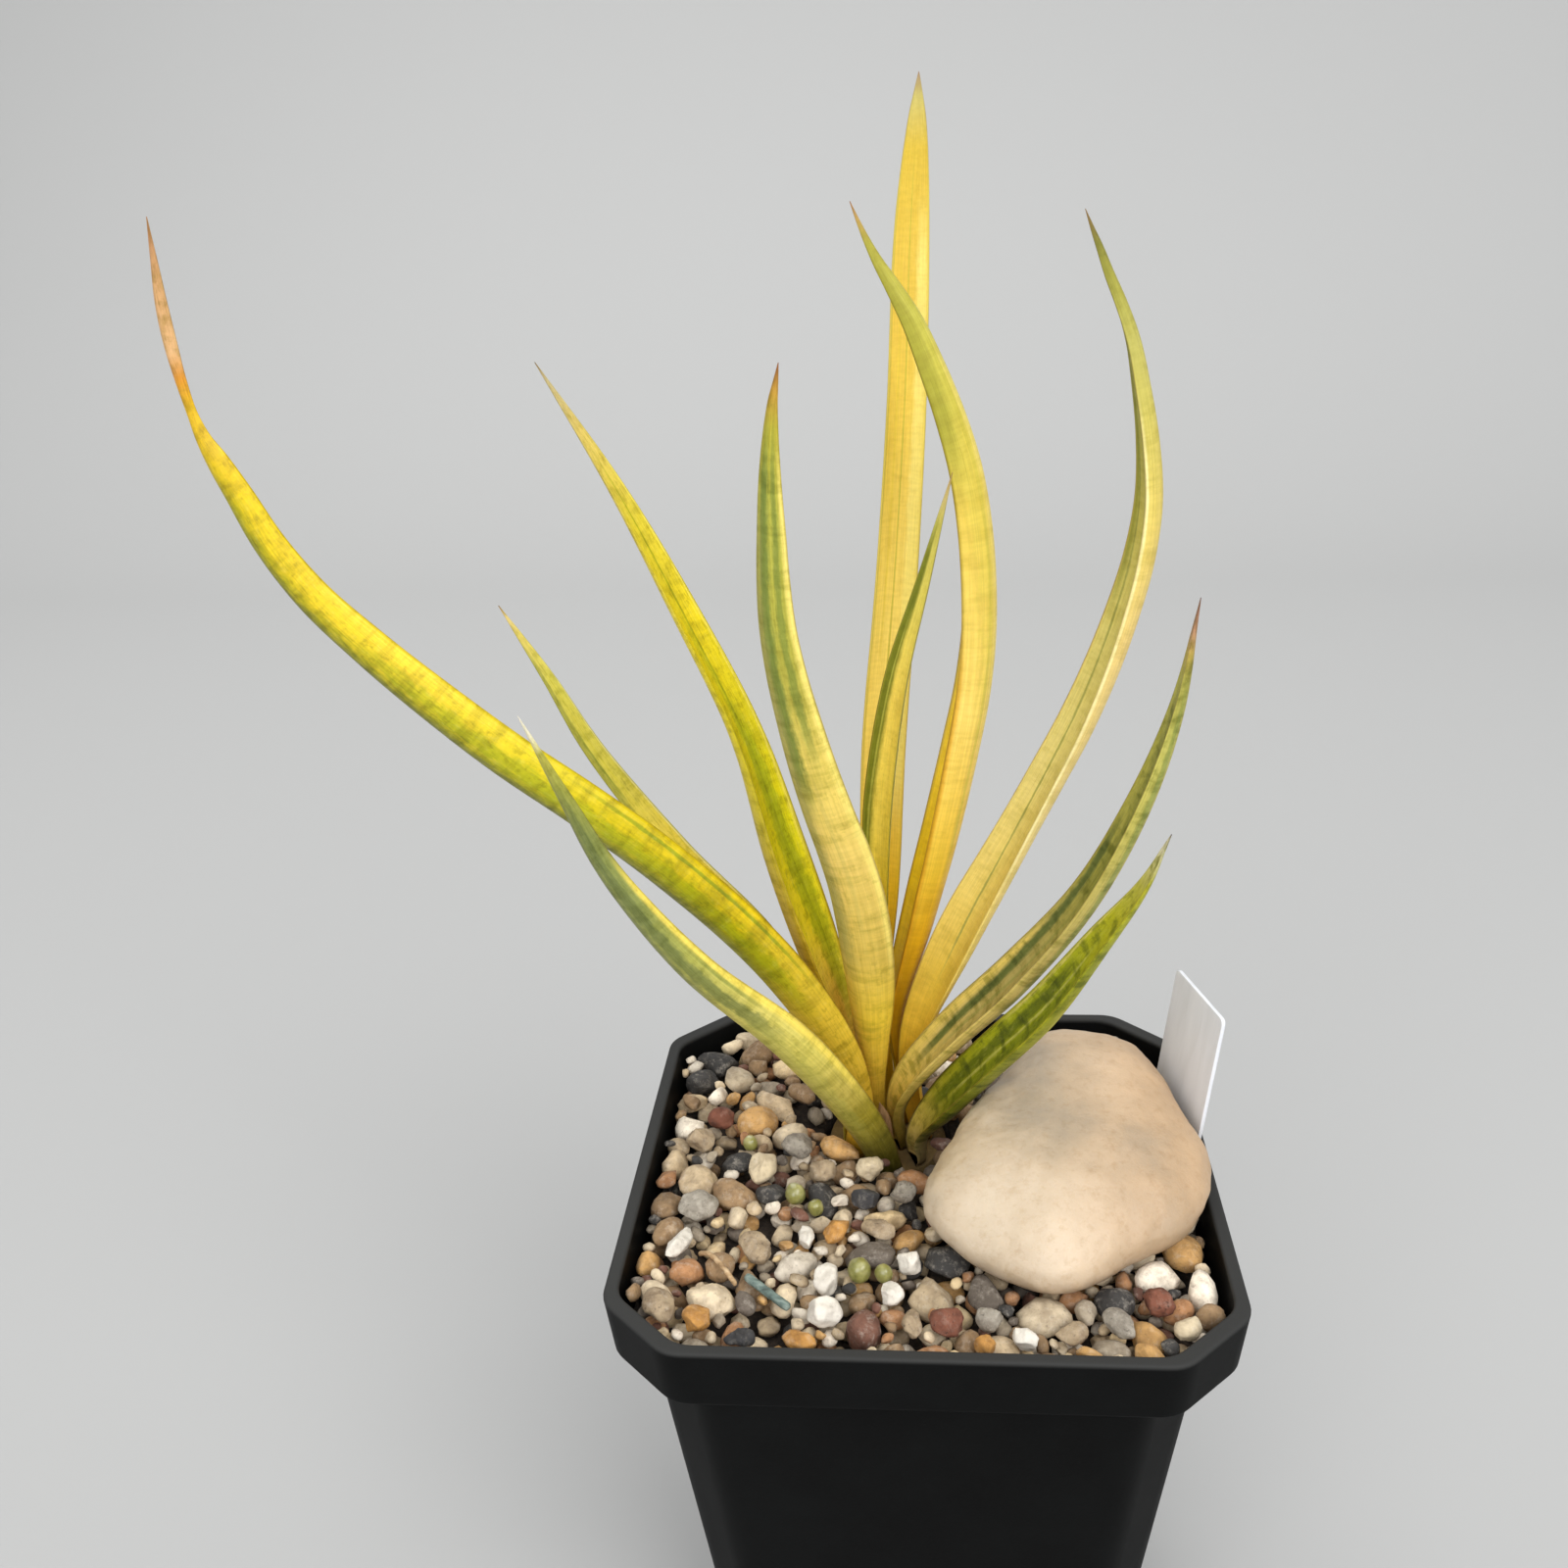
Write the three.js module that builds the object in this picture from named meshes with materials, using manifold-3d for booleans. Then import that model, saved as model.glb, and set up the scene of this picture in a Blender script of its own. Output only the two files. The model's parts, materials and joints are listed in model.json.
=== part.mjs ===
// Young variegated snake plant in a square nursery pot, dressed with gravel and a river stone.
// Millimetres. +Z up, -Y towards the viewer's side, origin on the table under the pot's centre.
import * as THREE from 'three';
import Module from 'manifold-3d';

const wasm = await Module();
wasm.setup();

// Driving sizes
const POT_HEIGHT = 100;
const RIM_HALF = 50;            // half the width across the rim
const RIM_CHAMFER = 11.4;       // length cut off each side of a rim corner
const BAND_DEPTH = 10.8;        // height of the rim band
const BAND_DRAFT = 1.1;         // how far the band narrows towards its lower edge
const BAND_STEP = 5;            // ledge from the band's lower edge in to the body
const BODY_HALF_FOOT = 33;      // half the body's width at the table
const BODY_CHAMFER_SHARE = 0.8; // body corner cut, as a share of the rim's
const WALL = 1.3;
const LIP = 2.2;                // width of the rim's top face
const FLOOR = 2.6;
const FOOT_RECESS = 1.5;        // shallow recess under the floor
const DRAIN_RADIUS = 4;
const GAP = 0.3;                // air left between neighbouring pieces
const MIX_TOP = POT_HEIGHT - 16;
const BED_TOP = POT_HEIGHT - 4.8;
const COBBLE_SIZE = 6.2;        // spacing of the bumps on the gravel bed
const COBBLE_RISE = 0.9;
const REST_GAP = 0.45;            // air under a piece that lies on the cobbles
const LEAF_FOOT = POT_HEIGHT - 8;
const LEAF_THICKNESS = 0.58;    // leaf thickness as a share of its width
const CHANNEL_DEPTH = 0.24;     // depth of the channel as a share of leaf width
const PLAN = RIM_HALF / 50;       // stones and litter spread out with the rim
const CROWN = { x: -6.5, y: 19.5, rx: 11, ry: 14.5 };
const WELL_MARGIN = 1.1;        // room between the crown and the gravel bed
const STONE = { x: 22, y: -9, half: 8.5, leanX: -0.03, leanY: 0.2 };
const LABEL = { width: 18.6, thick: 0.7, below: 8.6, above: 28.4, lean: 0.13 };

const part = new THREE.Group();
part.name = 'potted_snake_plant';

// Mesh helpers
function addNode(name, solid, colour, roughness) {
  const material = new THREE.MeshStandardMaterial({ color: colour, roughness, metalness: 0 });
  const mesh = new THREE.Mesh(toGeometry(solid), material);
  mesh.name = name;
  part.add(mesh);
}

function toGeometry(solid) {
  const mesh = solid.getMesh();
  const count = mesh.vertProperties.length / mesh.numProp;
  const positions = new Float32Array(count * 3);
  for (let i = 0; i < count; i++) {
    for (let axis = 0; axis < 3; axis++) {
      positions[i * 3 + axis] = mesh.vertProperties[i * mesh.numProp + axis];
    }
  }
  const geometry = new THREE.BufferGeometry();
  geometry.setAttribute('position', new THREE.BufferAttribute(positions, 3));
  geometry.setIndex(new THREE.BufferAttribute(new Uint32Array(mesh.triVerts), 1));
  geometry.computeVertexNormals();
  return geometry;
}

// Closed solid from rings of equal length, listed from one end to the other.
function skinRings(rings, firstPole, lastPole) {
  const sides = rings[0].length;
  const points = rings.flat().concat([firstPole, lastPole]);
  const first = points.length - 2;
  const last = points.length - 1;
  const faces = [];
  for (let r = 0; r + 1 < rings.length; r++) {
    for (let s = 0; s < sides; s++) {
      const a = r * sides + s;
      const b = r * sides + (s + 1) % sides;
      faces.push(a, b, b + sides, a, b + sides, a + sides);
    }
  }
  const top = (rings.length - 1) * sides;
  for (let s = 0; s < sides; s++) {
    const next = (s + 1) % sides;
    faces.push(first, next, s);
    faces.push(last, top + s, top + next);
  }
  return makeSolid(points, faces);
}

function makeSolid(points, faces) {
  if (signedVolume(points, faces) < 0) {
    for (let i = 0; i < faces.length; i += 3) {
      [faces[i + 1], faces[i + 2]] = [faces[i + 2], faces[i + 1]];
    }
  }
  const vertProperties = new Float32Array(points.flat());
  const triVerts = new Uint32Array(faces);
  return new wasm.Manifold(new wasm.Mesh({ numProp: 3, vertProperties, triVerts }));
}

function signedVolume(points, faces) {
  let total = 0;
  for (let i = 0; i < faces.length; i += 3) {
    const [a, b, c] = [points[faces[i]], points[faces[i + 1]], points[faces[i + 2]]];
    total += a[0] * (b[1] * c[2] - b[2] * c[1]);
    total += a[1] * (b[2] * c[0] - b[0] * c[2]);
    total += a[2] * (b[0] * c[1] - b[1] * c[0]);
  }
  return total / 6;
}

// Square with chamfered corners; each corner of the outline is slightly rounded.
function squareOutline(half, chamfer, round, perCorner = 3) {
  const straight = half - chamfer;
  const corners = [];
  for (let quarter = 0; quarter < 4; quarter++) {
    const turn = quarter * Math.PI / 2;
    for (const [x, y] of [[half, -straight], [half, straight]]) {
      corners.push([
        x * Math.cos(turn) - y * Math.sin(turn),
        x * Math.sin(turn) + y * Math.cos(turn),
      ]);
    }
  }
  const outline = [];
  corners.forEach((corner, i) => {
    const before = corners[(i + 7) % 8];
    const after = corners[(i + 1) % 8];
    const start = towards(corner, before, round);
    const end = towards(corner, after, round);
    for (let k = 0; k < perCorner; k++) {
      const t = k / (perCorner - 1);
      const u = 1 - t;
      outline.push([
        u * u * start[0] + 2 * u * t * corner[0] + t * t * end[0],
        u * u * start[1] + 2 * u * t * corner[1] + t * t * end[1],
      ]);
    }
  });
  return outline;
}

function towards(from, to, distance) {
  const length = Math.hypot(to[0] - from[0], to[1] - from[1]);
  const share = distance / length;
  return [from[0] + (to[0] - from[0]) * share, from[1] + (to[1] - from[1]) * share];
}

function atHeight(outline, z) {
  return outline.map(([x, y]) => [x, y, z]);
}

function squareSolid(levels, round) {
  const rings = levels.map(([z, half, chamfer]) => atHeight(squareOutline(half, chamfer, round), z));
  const low = levels[0][0];
  const high = levels[levels.length - 1][0];
  return skinRings(rings, [0, 0, low], [0, 0, high]);
}

// Pot
const bandFoot = POT_HEIGHT - BAND_DEPTH;
const bandHalfFoot = RIM_HALF - BAND_DRAFT;
const bodyHalfTop = bandHalfFoot - BAND_STEP;
const bodyChamfer = (half) => RIM_CHAMFER * BODY_CHAMFER_SHARE * half / bodyHalfTop;
const bodyHalf = (z) => BODY_HALF_FOOT + (bodyHalfTop - BODY_HALF_FOOT) * z / bandFoot;
const bandHalf = (z) => bandHalfFoot + BAND_DRAFT * (z - bandFoot) / BAND_DEPTH;
const insideBody = (z) => bodyHalf(z) - WALL;
const insideBand = (z) => bandHalf(z) - LIP;
const bandFloor = bandFoot + WALL;
const rimChamfer = (half) => RIM_CHAMFER * half / RIM_HALF;

function buildPot() {
  const edge = 0.7;
  const outside = squareSolid([
    [0, bodyHalf(0) - edge, bodyChamfer(bodyHalf(0) - edge)],
    [edge, bodyHalf(edge), bodyChamfer(bodyHalf(edge))],
    [bandFoot, bodyHalf(bandFoot), bodyChamfer(bodyHalf(bandFoot))],
    [bandFoot + 0.01, bandHalfFoot - edge, rimChamfer(bandHalfFoot - edge)],
    [bandFoot + edge, bandHalf(bandFoot + edge), rimChamfer(bandHalf(bandFoot + edge))],
    [POT_HEIGHT - edge, bandHalf(POT_HEIGHT - edge), RIM_CHAMFER],
    [POT_HEIGHT, RIM_HALF - edge, rimChamfer(RIM_HALF - edge)],
  ], 2.4);
  const inside = squareSolid([
    [FLOOR, insideBody(FLOOR), bodyChamfer(insideBody(FLOOR))],
    [bandFloor, insideBody(bandFloor), bodyChamfer(insideBody(bandFloor))],
    [bandFloor + 0.01, insideBand(bandFloor), rimChamfer(insideBand(bandFloor))],
    [POT_HEIGHT + 1, insideBand(POT_HEIGHT + 1), rimChamfer(insideBand(POT_HEIGHT + 1))],
  ], 2);
  let pot = outside.subtract(inside);
  const ringInner = BODY_HALF_FOOT * 0.84;
  const padRadius = BODY_HALF_FOOT * 0.3;
  const recess = squareSolid([
    [-1, ringInner, ringInner * 0.2],
    [FOOT_RECESS, ringInner - 1, ringInner * 0.2],
  ], 1.5);
  const pad = wasm.Manifold.cylinder(FOOT_RECESS + 1, padRadius, padRadius + 0.6, 40);
  pot = pot.subtract(recess.subtract(pad.translate([0, 0, -0.5])));
  for (let i = 0; i < 4; i++) {
    const turn = Math.PI / 4 + i * Math.PI / 2;
    const reach = BODY_HALF_FOOT * 0.62;
    const drain = wasm.Manifold.cylinder(FLOOR + 4, DRAIN_RADIUS, DRAIN_RADIUS, 28);
    pot = pot.subtract(drain.translate([reach * Math.cos(turn), reach * Math.sin(turn), -2]));
  }
  const floorCut = wasm.Manifold.cube([POT_HEIGHT * 2, POT_HEIGHT * 2, 10]);
  pot = pot.subtract(floorCut.translate([-POT_HEIGHT, -POT_HEIGHT, -10]));
  return pot;
}

addNode('pot', buildPot(), '#1f2022', 0.6);

// Potting mix under the gravel
const mixFoot = FLOOR + GAP;
addNode('potting_mix', squareSolid([
  [mixFoot, insideBody(mixFoot) - GAP, bodyChamfer(insideBody(mixFoot) - GAP)],
  [MIX_TOP, insideBody(MIX_TOP) - GAP, bodyChamfer(insideBody(MIX_TOP) - GAP)],
], 2), '#3a2d23', 0.95);

// Gravel bed: one packed layer with a cobbled top, a well for the crown and a slot for the label
function scatter(i, j, salt) {
  const value = Math.sin(i * 127.1 + j * 311.7 + salt * 74.7) * 43758.5453;
  return value - Math.floor(value);
}

function cobbles(x, y) {
  const column = Math.floor(x / COBBLE_SIZE);
  const row = Math.floor(y / COBBLE_SIZE);
  let height = 0;
  for (let i = column - 1; i <= column + 1; i++) {
    for (let j = row - 1; j <= row + 1; j++) {
      const cx = (i + 0.25 + 0.5 * scatter(i, j, 1)) * COBBLE_SIZE;
      const cy = (j + 0.25 + 0.5 * scatter(i, j, 2)) * COBBLE_SIZE;
      const reach = COBBLE_SIZE * (0.5 + 0.2 * scatter(i, j, 3));
      const distance = Math.hypot(x - cx, y - cy) / reach;
      height = Math.max(height, COBBLE_RISE * (1 - distance * distance));
    }
  }
  return height;
}

const bedSurface = (x, y) => BED_TOP + cobbles(x, y);

function evenOutline(half, chamfer, count) {
  const outline = squareOutline(half, chamfer, 2, 3);
  const path = new THREE.CurvePath();
  outline.forEach(([x, y], i) => {
    const [nx, ny] = outline[(i + 1) % outline.length];
    path.add(new THREE.LineCurve3(new THREE.Vector3(x, y, 0), new THREE.Vector3(nx, ny, 0)));
  });
  const points = [];
  for (let i = 0; i < count; i++) {
    const point = path.getPointAt(i / count);
    points.push([point.x, point.y]);
  }
  return points;
}

function buildBed(labelBox) {
  const around = 104;
  const steps = 24;
  const topHalf = insideBand(bandFloor + GAP) - GAP;
  const footHalf = insideBody(MIX_TOP + GAP) - GAP;
  const edge = evenOutline(topHalf, rimChamfer(topHalf), around);
  const foot = evenOutline(footHalf, bodyChamfer(footHalf), around);
  const shelf = bandFloor + GAP;
  const rings = [];
  for (let k = 1; k <= steps; k++) {
    const share = k / steps;
    rings.push(edge.map(([x, y]) => {
      const [px, py] = [x * share, y * share];
      return [px, py, bedSurface(px, py)];
    }));
  }
  rings.push(atHeight(edge, shelf));
  rings.push(atHeight(foot, shelf - 0.01));
  rings.push(atHeight(foot, MIX_TOP + GAP));
  let bed = skinRings(rings, [0, 0, bedSurface(0, 0)], [0, 0, MIX_TOP + GAP]);
  const well = [];
  for (const z of [MIX_TOP - 2, POT_HEIGHT + 2]) {
    const ring = [];
    for (let i = 0; i < 48; i++) {
      const turn = i / 48 * Math.PI * 2;
      const x = CROWN.x + (CROWN.rx + WELL_MARGIN) * Math.cos(turn);
      const y = CROWN.y + (CROWN.ry + WELL_MARGIN) * Math.sin(turn);
      ring.push([x, y, z]);
    }
    well.push(ring);
  }
  const wellSolid = skinRings(well, [CROWN.x, CROWN.y, MIX_TOP - 2], [CROWN.x, CROWN.y, POT_HEIGHT + 2]);
  bed = bed.subtract(wellSolid).subtract(labelBox);
  return bed;
}

// Plant label: a plain strip pushed into the gravel, leaning out against the right-hand wall
function labelSolid(width, thick, below, above, corner) {
  const along = new THREE.Vector3(0.262, -0.965, 0).normalize();
  const outward = new THREE.Vector3(0.965, 0.262, 0);
  const up = new THREE.Vector3(0, 0, 1).addScaledVector(outward, LABEL.lean).normalize();
  const across = new THREE.Vector3().crossVectors(up, along).normalize();
  const shape = new THREE.Shape();
  const half = width / 2;
  shape.moveTo(-half, -below);
  shape.lineTo(half, -below);
  shape.lineTo(half, above - corner);
  shape.quadraticCurveTo(half, above, half - corner, above);
  shape.lineTo(-half + corner, above);
  shape.quadraticCurveTo(-half, above, -half, above - corner);
  shape.closePath();
  const outline = shape.getPoints(4).slice(0, -1).map((p) => [p.x, p.y]);
  const centre = new THREE.Vector3(RIM_HALF * 0.888, RIM_HALF * 0.16, POT_HEIGHT);
  const place = (x, z, y) => centre.clone()
    .addScaledVector(along, x)
    .addScaledVector(up, z)
    .addScaledVector(across, y)
    .toArray();
  const rings = [-thick / 2, thick / 2].map((y) => outline.map(([x, z]) => place(x, z, y)));
  const middle = (above - below) / 2;
  return skinRings(rings, place(0, middle, -thick / 2), place(0, middle, thick / 2));
}

const slotRoom = GAP + 0.1;
addNode('gravel_bed', buildBed(labelSolid(
  LABEL.width + 2 * slotRoom,
  LABEL.thick + 2 * slotRoom,
  LABEL.below + 2,
  LABEL.above,
  0.01,
)), '#8c8172', 0.9);
addNode('plant_label', labelSolid(LABEL.width, LABEL.thick, LABEL.below, LABEL.above, 1.2), '#efefee', 0.45);

// Crown the leaves stand on
function buildCrown() {
  const levels = [
    [MIX_TOP + GAP, 0.8],
    [MIX_TOP + 3, 1],
    [LEAF_FOOT - GAP - 1.2, 1],
    [LEAF_FOOT - GAP, 0.93],
  ];
  const rings = levels.map(([z, share]) => {
    const ring = [];
    for (let i = 0; i < 40; i++) {
      const turn = i / 40 * Math.PI * 2;
      const lump = 1 + 0.03 * Math.sin(3 * turn + z);
      ring.push([
        CROWN.x + CROWN.rx * share * lump * Math.cos(turn),
        CROWN.y + CROWN.ry * share * lump * Math.sin(turn),
        z,
      ]);
    }
    return ring;
  });
  const low = [CROWN.x, CROWN.y, MIX_TOP + GAP];
  const high = [CROWN.x, CROWN.y, LEAF_FOOT - GAP];
  return skinRings(rings, low, high);
}

addNode('crown', buildCrown(), '#6b5a3a', 0.85);

// Leaves. path: x, y, height above the rim, width. face: which way the channel looks, foot and tip.
const LEAVES = [
  {
    name: 'leaf_front_left', colour: '#b3b84e', thickness: LEAF_THICKNESS,
    path: [
      [-7, 8, -8, 6], [-9.5, 5.5, 0.5, 7.2], [-15, 0.5, 13, 8.4], [-23.5, -6.5, 28.5, 9],
      [-36, -14.5, 45.5, 7.2], [-46, -21.5, 64.5, 4.7], [-51.5, -25.5, 80, 2.5], [-56, -28, 93, 0.2],
    ],
    face: [[0.3, 0.75, 0.55], [0.5, 0.6, 0.5]],
  },
  {
    name: 'leaf_front_right', colour: '#7f9a22', thickness: LEAF_THICKNESS,
    path: [
      [-0.5, 11.5, -8, 4.6], [0, 9.5, -1, 5.6], [5, 5, 8.5, 8], [12, -1, 20.5, 8],
      [20.5, -7, 34, 7.3], [28, -13, 49.5, 5], [33.5, -17, 61, 2.4], [36.5, -20, 71, 0.2],
    ],
    face: [[-0.4, -0.4, 0.85], [-0.6, -0.4, 0.6]],
  },
  {
    name: 'leaf_far_left', colour: '#c3bf1e', thickness: LEAF_THICKNESS,
    path: [
      [-12.5, 12, -8, 4.3], [-11.5, 12.5, 4, 5], [-17, 10, 19, 8.6], [-28.5, 5.5, 39, 10],
      [-46.5, 0.5, 60, 10.5], [-70, -5, 82, 10], [-91.5, -9, 106, 7.6], [-100.5, -10.5, 124.5, 5],
      [-103.5, -11, 133, 2.1], [-105, -11.5, 146, 2.5], [-104.5, -12, 160, 0.2],
    ],
    face: [[0.35, 0.7, 0.65], [0.6, 0.6, 0.5]],
  },
  {
    name: 'leaf_right', colour: '#a9ab57', thickness: LEAF_THICKNESS,
    path: [
      [-3.5, 16, -8, 4.3], [-4.5, 14, 0, 5], [-2, 11.5, 8.5, 6.6], [6, 8, 20.5, 8],
      [16.5, 4, 34, 8.2], [27, 0, 50.5, 6.8], [34.5, -3, 68.5, 5.6], [39, -5, 85.5, 3.4],
      [41, -6, 102.5, 0.2],
    ],
    face: [[-0.6, -0.4, 0.7], [-1, 0, 0.3]],
  },
  {
    name: 'leaf_left_short', colour: '#b9be3c', thickness: LEAF_THICKNESS,
    path: [
      [-13.4, 16.6, -8, 3.1], [-13.8, 16.6, 3, 3.1], [-17.8, 15.6, 13.5, 3.3], [-27.6, 20.6, 31, 4.8],
      [-43, 22.5, 48, 5], [-56.5, 23, 67, 3.8], [-64, 22.5, 82, 2.3], [-71, 22, 95, 0.2],
    ],
    face: [[0.5, -0.7, 0.4], [0.5, -0.8, 0.4]],
  },
  {
    name: 'leaf_left_long', colour: '#bfc21f', thickness: LEAF_THICKNESS,
    path: [
      [-13, 25, -8, 4.2], [-13.4, 23.4, 3, 4.3], [-14.2, 21.3, 14, 5.6], [-18.5, 17.4, 30.5, 9],
      [-24, 15, 51.5, 9], [-29.5, 13, 75, 6.3], [-38.5, 10.5, 98, 4.8], [-47, 8.5, 117.5, 2.8],
      [-57, 6, 137, 0.2],
    ],
    face: [[0.95, -0.3, 0.2], [0.6, -0.75, 0.3]],
  },
  {
    name: 'leaf_centre', colour: '#d9cf70', thickness: LEAF_THICKNESS,
    path: [
      [-8.5, 17.5, -8, 4.3], [-9, 17.8, 2, 4.3], [-9.5, 16.3, 13, 6.6], [-10, 11.5, 30.5, 10],
      [-12, 6, 50.5, 11], [-17.5, 0.5, 73, 10], [-21.5, -4.5, 96.5, 7.7], [-21.5, -8, 117, 5.3],
      [-20.5, -9.5, 130.5, 2.6], [-19, -10, 138, 0.2],
    ],
    face: [[0.55, 0.75, 0.2], [0.9, 0.3, 0.2]],
  },
  {
    name: 'leaf_right_long', colour: '#cfc768', thickness: LEAF_THICKNESS,
    path: [
      [0.5, 19.5, -8, 4.3], [-1.5, 20, 3, 4.3], [0, 19, 16, 6], [7.5, 19, 34, 8.6],
      [18.5, 19.5, 56, 7.7], [30, 19, 81.5, 7.5], [36.5, 18, 108.5, 6.5], [33.5, 16.5, 133, 4.1],
      [28, 15, 147.5, 2.3], [24.5, 14, 155.5, 0.2],
    ],
    face: [[-0.5, -0.8, 0.2], [-1, 0.1, 0.2]],
  },
  {
    name: 'leaf_arched', colour: '#d8b93a', thickness: LEAF_THICKNESS,
    path: [
      [-2.5, 24.5, -8, 4.3], [-3.5, 24, 3, 4.5], [-4.5, 23.3, 16, 5.7], [0, 23.5, 35.5, 9.1],
      [5.5, 24, 59, 10.5], [10, 24.5, 86, 10.2], [8.5, 24, 113.5, 8.7], [1, 22.5, 136.5, 5.6],
      [-6.5, 21, 150, 2], [-10, 20, 157.5, 0.2],
    ],
    face: [[-0.98, -0.25, 0.1], [-0.9, 0.25, -0.3]],
  },
  {
    name: 'leaf_tall', colour: '#e3cf57', thickness: LEAF_THICKNESS * 0.8,
    path: [
      [-7, 31, -8, 4.3], [-8, 31, 3, 4.7], [-8.5, 30.5, 18, 5.2], [-7.5, 31, 39.5, 7.2],
      [-6.5, 33, 65.5, 7.9], [-4, 35.5, 94.5, 7.3], [-2, 37.5, 124, 6.7], [-1, 38, 150, 5.9],
      [0, 38, 166.5, 3.5], [0.5, 38, 175.5, 0.2],
    ],
    face: [[0.1, -1, 0], [0.1, -1, 0]],
  },
  {
    name: 'leaf_slim', colour: '#9aa53a', thickness: LEAF_THICKNESS,
    path: [
      [-8.6, 26, -8, 3.2], [-8.8, 25.7, 4, 3.1], [-9, 24.8, 18, 3.2], [-7.7, 22, 30, 3.9],
      [-7.5, 19.5, 45, 4.7], [-6.5, 18, 62.5, 5.1], [-3.5, 17, 82.5, 4.2], [1, 16.5, 99.5, 2.4],
      [5.5, 17, 117, 0.2],
    ],
    face: [[-0.1, -1, 0], [-0.5, -0.85, 0]],
  },
];

// Cross-section of a leaf: rounded back, shallow channel in front, centred on the path.
function leafSection(width, thickness, channel) {
  const points = [];
  for (let i = 0; i <= 8; i++) {
    const turn = i / 8 * Math.PI;
    points.push([-Math.cos(turn) * width / 2, thickness / 2 - Math.sin(turn) * thickness]);
  }
  for (const share of [0.75, 0.375, 0, -0.375, -0.75]) {
    points.push([share * width / 2, thickness / 2 - channel * (1 - share * share)]);
  }
  return points;
}

function buildLeaf(leaf, ringCount = 26) {
  const path = leaf.path.map(([x, y, z]) => new THREE.Vector3(x, y, z + POT_HEIGHT));
  const curve = new THREE.CatmullRomCurve3(path, false, 'catmullrom', 0.5);
  const widths = leaf.path.map((p) => new THREE.Vector3(p[3], 0, 0));
  const widthCurve = new THREE.CatmullRomCurve3(widths, false, 'catmullrom', 0.5);
  const [footFace, tipFace] = leaf.face.map((f) => new THREE.Vector3(...f));
  const centres = [];
  let length = 0;
  for (let i = 0; i < ringCount; i++) {
    const point = curve.getPoint(i / (ringCount - 1));
    if (i > 0) {
      length += point.distanceTo(centres[i - 1].point);
    }
    centres.push({ point, length });
  }
  const rings = [];
  for (let i = 0; i + 1 < ringCount; i++) {
    const t = i / (ringCount - 1);
    const { point, length: along } = centres[i];
    const share = along / length;
    const tangent = curve.getTangent(t).normalize();
    const face = footFace.clone().lerp(tipFace, share);
    face.addScaledVector(tangent, -face.dot(tangent)).normalize();
    const side = new THREE.Vector3().crossVectors(tangent, face);
    const width = Math.max(widthCurve.getPoint(t).x, 0.1);
    const channel = (leaf.channel ?? CHANNEL_DEPTH) * width * Math.min(1, (1 - share) * 3);
    const section = leafSection(width, leaf.thickness * width, channel);
    const ring = section.map(([across, out]) => {
      const spot = point.clone().addScaledVector(side, across).addScaledVector(face, out);
      if (i === 0) {
        spot.addScaledVector(tangent, (point.z - spot.z) / tangent.z);
      }
      return spot.toArray();
    });
    rings.push(ring);
  }
  return skinRings(rings, centres[0].point.toArray(), centres[ringCount - 1].point.toArray());
}

for (const leaf of LEAVES) {
  addNode(leaf.name, buildLeaf(leaf), leaf.colour, 0.5);
}

// Papery scale left at the foot of the front leaves
addNode('dry_scale', buildLeaf({
  thickness: 0.3,
  channel: 0.1,
  path: [[-6.3, 11.3, -8, 2.6], [-6.6, 11.3, -3, 2.8], [-6.9, 11.1, 1, 2.2], [-7.5, 11.1, 4, 0.2]],
  face: [[0.2, 1, 0.1], [0.2, 1, 0.1]],
}, 10), '#8a6a43', 0.8);

// Closed smooth outline through a few radii spread evenly round the centre
function smoothOutline(radii, count) {
  const points = radii.map((radius, i) => {
    const turn = i / radii.length * Math.PI * 2;
    return new THREE.Vector3(radius * Math.cos(turn), radius * Math.sin(turn), 0);
  });
  const curve = new THREE.CatmullRomCurve3(points, true);
  return curve.getPoints(count).slice(0, count).map((p) => [p.x, p.y]);
}

// Pebble-like solid: an outline drawn in towards top and bottom
function pebbleRings(outline, half, levels) {
  const rings = [];
  for (let k = 1; k < levels; k++) {
    const rise = -Math.PI / 2 + Math.PI * k / levels;
    const share = Math.pow(Math.cos(rise), 0.8);
    rings.push(outline.map(([x, y]) => [x * share, y * share, half * Math.sin(rise)]));
  }
  return rings;
}

// Lift a resting piece until its lowest point clears the gravel bed by the gap.
function seat(points, clearance) {
  let lift = -Infinity;
  for (const [x, y, z] of points) {
    lift = Math.max(lift, bedSurface(x, y) - z);
  }
  return lift + clearance;
}

// River stone
function buildStone() {
  const radii = [26.5, 26.3, 31, 28, 17.5, 16, 18, 25.5, 25, 26, 22.5, 25].map((r) => r * PLAN);
  const half = STONE.half * PLAN;
  const outline = smoothOutline(radii, 56);
  const tilt = ([x, y, z]) => [
    STONE.x * PLAN + x,
    STONE.y * PLAN + y,
    z + STONE.leanX * x + STONE.leanY * y,
  ];
  const rings = pebbleRings(outline, half, 18).map((ring) => ring.map(tilt));
  const poles = [tilt([0, 0, -half]), tilt([0, 0, half])];
  const lift = seat(rings.flat().concat(poles), REST_GAP);
  const raise = ([x, y, z]) => [x, y, z + lift];
  return skinRings(rings.map((ring) => ring.map(raise)), raise(poles[0]), raise(poles[1]));
}

addNode('river_stone', buildStone(), '#cdbfa8', 0.6);

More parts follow.
